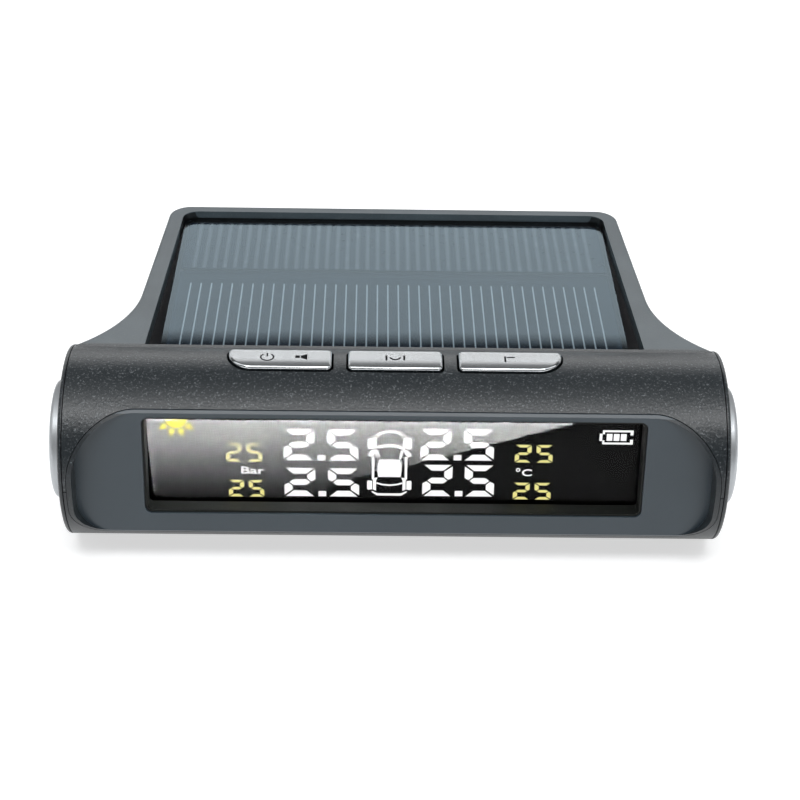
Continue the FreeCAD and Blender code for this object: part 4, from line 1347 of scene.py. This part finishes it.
@dataclass
class Keys:
    """The three push keys, their marks and the switches below."""

    frame: Frame
    crown: float = 12.15 * MM
    proud: float = 0.004 * MM
    slices: int = 12

    def dress(self) -> None:
        """Give caps their bright plating and switches their plastics."""
        caps = [f"{side}_button" for side in SIDES]
        Metal("key_chrome", (0.82, 0.85, 0.87), 0.13, 0.0001, 0.0000008, (0.1, 1.0, 1.0), 0.05).dress(
            *self.frame.group(*caps))
        for side in SIDES:
            Moulded("switch_grey", (0.03, 0.03, 0.032), 0.5).dress(
                *self.frame.group(f"{side}_switch_plunger", f"{side}_switch_body"))
            Metal("switch_dome", (0.6, 0.6, 0.58), 0.3).dress(*self.frame.group(f"{side}_switch_dome"))
        LOG.info("dressed the keys")

    def bend(self, piece: bpy.types.Object) -> None:
        """Wrap a flat mark round the crown, whose middle line it was laid over.

        Args:
            piece: the flat mark.
        """
        build = bmesh.new()
        build.from_mesh(piece.data)
        span = [v.co.y for v in build.verts]
        low, high = min(span), max(span)
        for i in range(1, self.slices):
            cut = low + (high - low) * i / self.slices
            everything = build.verts[:] + build.edges[:] + build.faces[:]
            bmesh.ops.bisect_plane(build, geom=everything, dist=WELD / 10, plane_co=(0.0, cut, 0.0),
                                   plane_no=(0.0, 1.0, 0.0))
        axis = self.frame.axis
        for vertex in build.verts:
            off = vertex.co.y - axis.y
            radius = vertex.co.z - axis.z
            turn = off / self.crown
            vertex.co.y = axis.y + radius * math.sin(turn)
            vertex.co.z = axis.z + radius * math.cos(turn)
        build.to_mesh(piece.data)
        build.free()

    def mark(self, name: str, art: Artwork, side: str) -> None:
        """Lay a mark on a key's crown and let it ride on that key.

        Args:
            name: its name.
            art: its outlines, in millimetres.
            side: which key it is on.
        """
        low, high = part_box(f"{side}_button")
        level = self.frame.axis.z + self.crown + self.proud / 4
        origin = Vector(((low.x + high.x) / 2, self.frame.axis.y, level))
        plane = Plane(origin, Vector((1.0, 0.0, 0.0)), Vector((0.0, 1.0, 0.0)))
        piece = art.piece(name, plane, self.proud)
        self.bend(piece)
        Moulded("mark_ink", (0.008, 0.009, 0.010), 0.4, 0.0003, 0.000001, 0.1, 0.1).dress(piece)
        settle(piece, f"{side}_push")

    def marks(self) -> None:
        """A power ring and a sounder on the left, a list mark in the middle, a flag on the right."""
        ring = Artwork().band(circle(-1.55, 0.45, 0.78, 125, 415), 0.2)
        ring.add(block(-1.64, 0.55, -1.46, 1.4))
        self.mark("power_mark", ring, "left")
        horn = [(2.5, 0.3), (3.3, -0.1), (3.3, 1.2), (2.5, 0.8)]
        sounder = Artwork().add(block(1.85, 0.25, 2.4, 0.85), horn)
        self.mark("sounder_mark", sounder, "left")
        menu = Artwork().add(block(-1.2, 0.0, -0.95, 1.1), block(0.95, 0.0, 1.2, 1.1))
        menu.band(circle(0.0, 0.75, 0.62, 190, 350), 0.24)
        self.mark("menu_mark", menu, "middle")
        flag = Artwork().add(block(-0.75, -0.15, -0.52, 1.15), block(-0.45, 0.78, 0.55, 1.05))
        self.mark("flag_mark", flag, "right")

    def build(self) -> None:
        """Dress the keys and lay their marks."""
        self.dress()
        self.marks()


@dataclass
class Electronics:
    """Everything inside: boards, chips, sounder, battery, leads and socket."""

    frame: Frame

    def dress(self) -> None:
        """Give the inner parts their finishes."""
        group = self.frame.group
        BoardMask("board_mask").dress(*group("main_board", "charge_board"))
        BoardMask("dark_board_mask", (0.004, 0.005, 0.006)).dress(*group("solar_board"))
        Moulded("chip_resin", (0.012, 0.012, 0.013), 0.55, 0.0002, 0.000004).dress(
            *group("controller_chip", "radio_chip", "small_parts", "charge_chip"))
        Metal("tinned_steel", (0.66, 0.66, 0.64), 0.28).dress(
            *group("crystal", "vibration_sensor", "charging_socket"))
        Metal("coil_copper", (0.72, 0.33, 0.16), 0.3, 0.0002, 0.00001).dress(*group("antenna_coil"))
        Metal("cell_foil", (0.70, 0.71, 0.72), 0.38, 0.0006, 0.00001, (1.0, 1.0, 1.0), 0.2).dress(
            *group("battery_cell"))
        Moulded("lead_sheath", (0.35, 0.01, 0.008), 0.45, 0.0003, 0.000004).dress(
            *group("battery_leads", "solar_leads", "link_leads"))
        LOG.info("dressed the electronics")


# ---------------------------------------------------------------- studio


@dataclass(frozen=True)
class Floor(Finish):
    """Pale matt floor, very slightly uneven."""

    colour: Colour = (0.55, 0.555, 0.56)
    lift: float = 0.62

    def surface(self, nodes: Nodes) -> Value:
        """Matt, with the faintest mottling.

        Args:
            nodes: the nodes of the material.

        Returns:
            The shader.
        """
        soft = nodes.noise(nodes.place(), 0.05, 2.0)
        tone = nodes.mix(soft * 0.3, self.colour, tuple(c * 0.99 for c in self.colour))
        return nodes.principled(Base_Color=tone, Roughness=0.9, Specular_IOR_Level=0.0,
                                Emission_Color=(1.0, 1.0, 1.0), Emission_Strength=self.lift)


@dataclass(frozen=True)
class CardLight(Finish):
    """A studio card that adds light and hides nothing, its light changing along one direction."""

    strength: float
    way: tuple[float, float, float]
    low: float
    high: float
    weak: float = 0.0
    power: float = 2.0
    tint: Colour = (1.0, 1.0, 1.0)

    def material(self) -> bpy.types.Material:
        """The material, whose light is found by reflection alone.

        Returns:
            The material.
        """
        made = super().material()
        made.cycles.emission_sampling = "NONE"
        return made

    def surface(self, nodes: Nodes) -> Value:
        """Light that rises along one direction.

        Args:
            nodes: the nodes of the material.

        Returns:
            The shader.
        """
        along = nodes.vector("DOT_PRODUCT", nodes.place(), self.way, out="Value")
        inputs = {"Value": along, "From Min": self.low, "From Max": self.high}
        rise = nodes.node("ShaderNodeMapRange", inputs=inputs) ** self.power
        start, end = (tuple(c * level for c in self.tint) for level in (self.weak, self.strength))
        light = nodes.mix(rise, start, end)
        glow = nodes.node("ShaderNodeEmission", inputs={"Color": light, "Strength": 1.0})
        clear = nodes.node("ShaderNodeBsdfTransparent")
        return nodes.node("ShaderNodeAddShader", inputs={0: glow, 1: clear})


@dataclass
class Studio:
    """Camera, floor, surroundings, lights and the cards that the gloss reflects."""

    frame: Frame
    sun: Artwork
    look_offset: tuple[float, float, float] = (0.662 * MM, 0.0, 6.312 * MM)
    distance: float = 238.954 * MM
    elevation: float = 34.54
    yaw: float = -1.033
    roll: float = 1.198
    lens: float = 87.75
    sensor: float = 36.0
    floor_half: float = 3.0
    floor_drop: float = 0.01 * MM
    aim: tuple[float, float, float] = (0.0, 0.0, 0.01)
    sky: tuple[Point, ...] = (
        (0, 0.05), (52, 0.05), (62, 1.0), (98, 1.0), (106, 0.06), (180, 0.06))
    stand_off: float = 1.0 * MM
    glare_top: float = 5.55
    glare_low: float = -6.2
    glare: tuple[Point, ...] = (
        (-29.95, 6.1), (22.05, 6.1), (21.4, 5.9), (1.57, -0.11), (-4.38, -1.71), (-8.16, -3.3),
        (-11.2, -4.5), (-12.6, -5.2), (-29.2, -5.2))
    glare_strength: float = 87.0
    glare_edge: tuple[Point, ...] = ((-29.95, 5.9), (22.05, 6.1), (21.4, 5.9), (-29.95, 5.7))
    glare_side: tuple[Point, ...] = ((-29.95, 6.0), (-29.8, 6.0), (-29.05, -5.2), (-29.2, -5.2))
    edge_strengths: tuple[float, float] = (9.0, 90.0)
    glare_fill: tuple[Point, ...] = ((-29.2, -3.95), (29.7, -3.95), (29.7, -5.6), (-29.2, -5.6))
    fill_strength: float = 1.3
    panel_strength: float = 1.75
    panel_tint: Colour = (0.80, 1.0, 1.12)
    panel_stand_off: float = 2.0 * MM
    panel_fade: float = 3.6 * MM
    panel_start: float = 0.3
    panel_half: float = 45.0
    card_reach: float = 0.2
    card_half: float = 0.3
    card_switch: float = 33.0
    card_fade: float = 0.04

    def camera(self) -> bpy.types.Object:
        """Place the camera and make it the scene's own.

        Returns:
            The camera.
        """
        turn, rise, roll = (math.radians(v) for v in (self.yaw, self.elevation, self.roll))
        flat = math.cos(rise)
        back = Vector((math.sin(turn) * flat, -math.cos(turn) * flat, math.sin(rise)))
        right = Vector((math.cos(turn), math.sin(turn), 0.0))
        up = back.cross(right)
        across = right * math.cos(roll) + up * math.sin(roll)
        above = up * math.cos(roll) - right * math.sin(roll)
        data = bpy.data.cameras.new("studio_camera")
        data.lens = self.lens
        data.sensor_width = self.sensor
        data.clip_start = 0.01
        data.clip_end = 20.0
        made = bpy.data.objects.new("studio_camera", data)
        grid = Matrix((across, above, back)).transposed().to_4x4()
        grid.translation = self.frame.axis + Vector(self.look_offset) + back * self.distance
        made.matrix_world = grid
        bpy.context.scene.collection.objects.link(made)
        bpy.context.scene.camera = made
        return made

    def sheet(self, name: str, corners: list[Vector], finish: Finish) -> bpy.types.Object:
        """A flat stage sheet through corners in order.

        Args:
            name: its name.
            corners: its corners.
            finish: its finish.

        Returns:
            The sheet.
        """
        build = bmesh.new()
        build.faces.new([build.verts.new(corner) for corner in corners])
        mesh = bpy.data.meshes.new(name)
        build.to_mesh(mesh)
        build.free()
        made = bpy.data.objects.new(name, mesh)
        bpy.context.scene.collection.objects.link(made)
        finish.dress(made)
        return made

    def floor(self) -> None:
        """The pale floor that the pad stands on."""
        half = self.floor_half
        turns = ((-half, -half), (half, -half), (half, half), (-half, half))
        corners = [Vector((x, y, -self.floor_drop)) for x, y in turns]
        self.sheet("studio_floor", corners, Floor("studio_floor"))

    def surroundings(self) -> None:
        """Soft boxes all round, from the front horizon over the top to the back."""
        world = bpy.data.worlds.new("studio_world")
        world.use_nodes = True
        nodes = Nodes(world.node_tree)
        _, y, z = nodes.axes(nodes.node("ShaderNodeTexCoord", out="Generated"))
        turn = nodes.node("ShaderNodeMath", {"operation": "ARCTAN2"}, {0: z, 1: 0 - y}) / math.pi
        stops = [(degrees / 180, (grey * 0.97, grey * 0.99, grey)) for degrees, grey in self.sky]
        ramp = nodes.node("ShaderNodeValToRGB", {"stops": stops}, {0: turn})
        surface = nodes.node("ShaderNodeBackground", inputs={"Color": ramp, "Strength": 1.0})
        nodes.output(surface, "ShaderNodeOutputWorld")
        bpy.context.scene.world = world

    def lamp(self, name: str, at: tuple[float, float, float], size: tuple[float, float], power: float,
             glossy: bool = True) -> bpy.types.Object:
        """A rectangular soft light aimed at the part.

        Args:
            name: the light's name.
            at: where it hangs, in metres.
            size: its width and height.
            power: its power in watts.
            glossy: whether gloss shows it.

        Returns:
            The light.
        """
        data = bpy.data.lights.new(name, "AREA")
        data.shape = "RECTANGLE"
        data.size, data.size_y = size
        data.energy = power
        made = bpy.data.objects.new(name, data)
        bpy.context.scene.collection.objects.link(made)
        made.location = at
        aim = Vector(self.aim) - Vector(at)
        made.rotation_euler = aim.to_track_quat("-Z", "Y").to_euler()
        made.visible_glossy = glossy
        made.visible_camera = False
        return made

    def reflected(self, plane: Plane, x: float, up: float, stand_off: float) -> Vector:
        """Where a card's corner hangs so that a plane mirrors it at a place given in millimetres.

        Args:
            plane: the mirroring plane.
            x: how far across, in millimetres.
            up: how far up, in millimetres.
            stand_off: how far off the plane it hangs, in metres.

        Returns:
            The place.
        """
        place = plane.origin + plane.across * (x * MM) + plane.up * (up * MM)
        eye = bpy.context.scene.camera.matrix_world.translation
        height = (eye - plane.origin).dot(plane.out)
        mirrored = eye - plane.out * (2 * height)
        return place + (place - mirrored) * (stand_off / height)

    def card(self, made: bpy.types.Object, *receivers: str) -> bpy.types.Object:
        """Let only gloss show a card, and only that of the receivers.

        Args:
            made: the card.
            receivers: the CAD nodes whose gloss shows it.

        Returns:
            The card.
        """
        made.visible_camera = False
        made.visible_diffuse = False
        made.visible_shadow = False
        group = bpy.data.collections.new(made.name + "_receivers")
        for item in self.frame.group(*receivers):
            group.objects.link(item)
        made.light_linking.receiver_collection = group
        return made

    def glare_card(self, sun: Artwork) -> None:
        """The card that the window mirrors, with its bright edges; the sun mark is cut out of it.

        Args:
            sun: the sun mark.
        """
        plane = self.frame.facet_plane(self.frame.glass_face)
        way = plane.up
        low, high = (self.reflected(plane, 0.0, up, self.stand_off).dot(way)
                     for up in (self.glare_low, self.glare_top))
        weak, strong = self.edge_strengths
        fill = self.fill_strength
        main_light = CardLight("glare_light", self.glare_strength, tuple(way), low, high)
        edge = CardLight("glare_edge_light", strong, tuple(way), low, high, weak, 1.0)
        shade = CardLight("glare_fill_light", fill, tuple(way), low, high, fill, 1.0)
        sheets = {
            "glare_card": (list(self.glare), main_light),
            "glare_top_edge": (list(self.glare_edge), edge),
            "glare_left_edge": (list(self.glare_side), edge),
            "glare_fill": (list(self.glare_fill), shade),
        }
        flat = Plane(Vector(), Vector((1, 0, 0)), Vector((0, 1, 0)))
        for name, (outline, finish) in sheets.items():
            art = Artwork().add(outline)
            if name == "glare_card":
                art.add(*sun.outlines)
            made = art.piece(name, flat, 0.0)
            for vertex in made.data.vertices:
                vertex.co = self.reflected(plane, vertex.co.x / MM, vertex.co.y / MM, self.stand_off)
            finish.dress(made)
            self.card(made, "display_window")

    def panel_card(self) -> None:
        """The card over the deck that the panel mirrors, all but its front edge."""
        low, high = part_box("panel_cover")
        across = Vector((1.0, 0.0, 0.0))
        up = self.frame.deck_out.cross(across)
        middle = Vector((0.0, low.y, 0.0))
        origin = middle + self.frame.deck_out * (self.frame.cover_face - middle.dot(self.frame.deck_out))
        plane = Plane(origin, across, up)
        deep = (high.y - low.y) / MM + 1
        spots = block(-self.panel_half, self.panel_start, self.panel_half, deep)
        corners = [self.reflected(plane, x, y, self.panel_stand_off) for x, y in spots]
        start = corners[0].y
        light = CardLight("panel_light", self.panel_strength, (0.0, 1.0, 0.0), start,
                          start + self.panel_fade, 0.0, 1.0, self.panel_tint)
        self.card(self.sheet("panel_card", corners, light), "panel_cover")

    def back_cards(self) -> None:
        """Two cards behind: one for the keys, and one for the ridge and the barrel's crown."""
        _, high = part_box("middle_button")
        top = Vector((0.0, high.y, high.z))
        reach = self.card_reach
        for name, receivers, span, strength, weak in (
            ("key_card", ("left_button", "middle_button", "right_button"), (12.0, 60.0), 0.10, 1.15),
            ("crown_card", ("upper_shell", "left_end_cap", "right_end_cap"), (14.0, 36.0), 0.2, 2.4),
        ):
            heights = [top.z + reach * math.tan(math.radians(angle)) for angle in span]
            spots = block(-self.card_half, heights[0], self.card_half, heights[1])
            corners = [Vector((x, top.y + reach, height)) for x, height in spots]
            middle = top.z + reach * math.tan(math.radians(self.card_switch))
            light = CardLight(name + "_light", strength, (0.0, 0.0, 1.0), middle,
                              middle + self.card_fade, weak, 1.0)
            self.card(self.sheet(name, corners, light), *receivers)

    def build(self) -> None:
        """Set the whole studio up."""
        self.camera()
        self.floor()
        self.surroundings()
        self.lamp("overhead_soft", (0.0, 0.1, 1.2), (1.4, 1.4), 9.0, glossy=False)
        self.lamp("front_soft", (0.0, -0.45, 1.05), (0.9, 0.3), 6.0)
        self.glare_card(self.sun)
        self.panel_card()
        self.back_cards()
        bpy.context.scene.view_settings.view_transform = "Standard"
        LOG.info("set up the studio")


def main() -> None:
    """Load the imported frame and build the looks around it."""
    logging.basicConfig(level=logging.INFO, format="%(name)s: %(message)s")
    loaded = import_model()
    frame = Frame(loaded)
    Case(frame).dress()
    display = Display(frame)
    display.build()
    SolarPanel(frame).dress()
    Keys(frame).build()
    Electronics(frame).dress()
    Studio(frame, display.sun_art(display.sight_drop)).build()


if __name__ == "__main__":
    main()
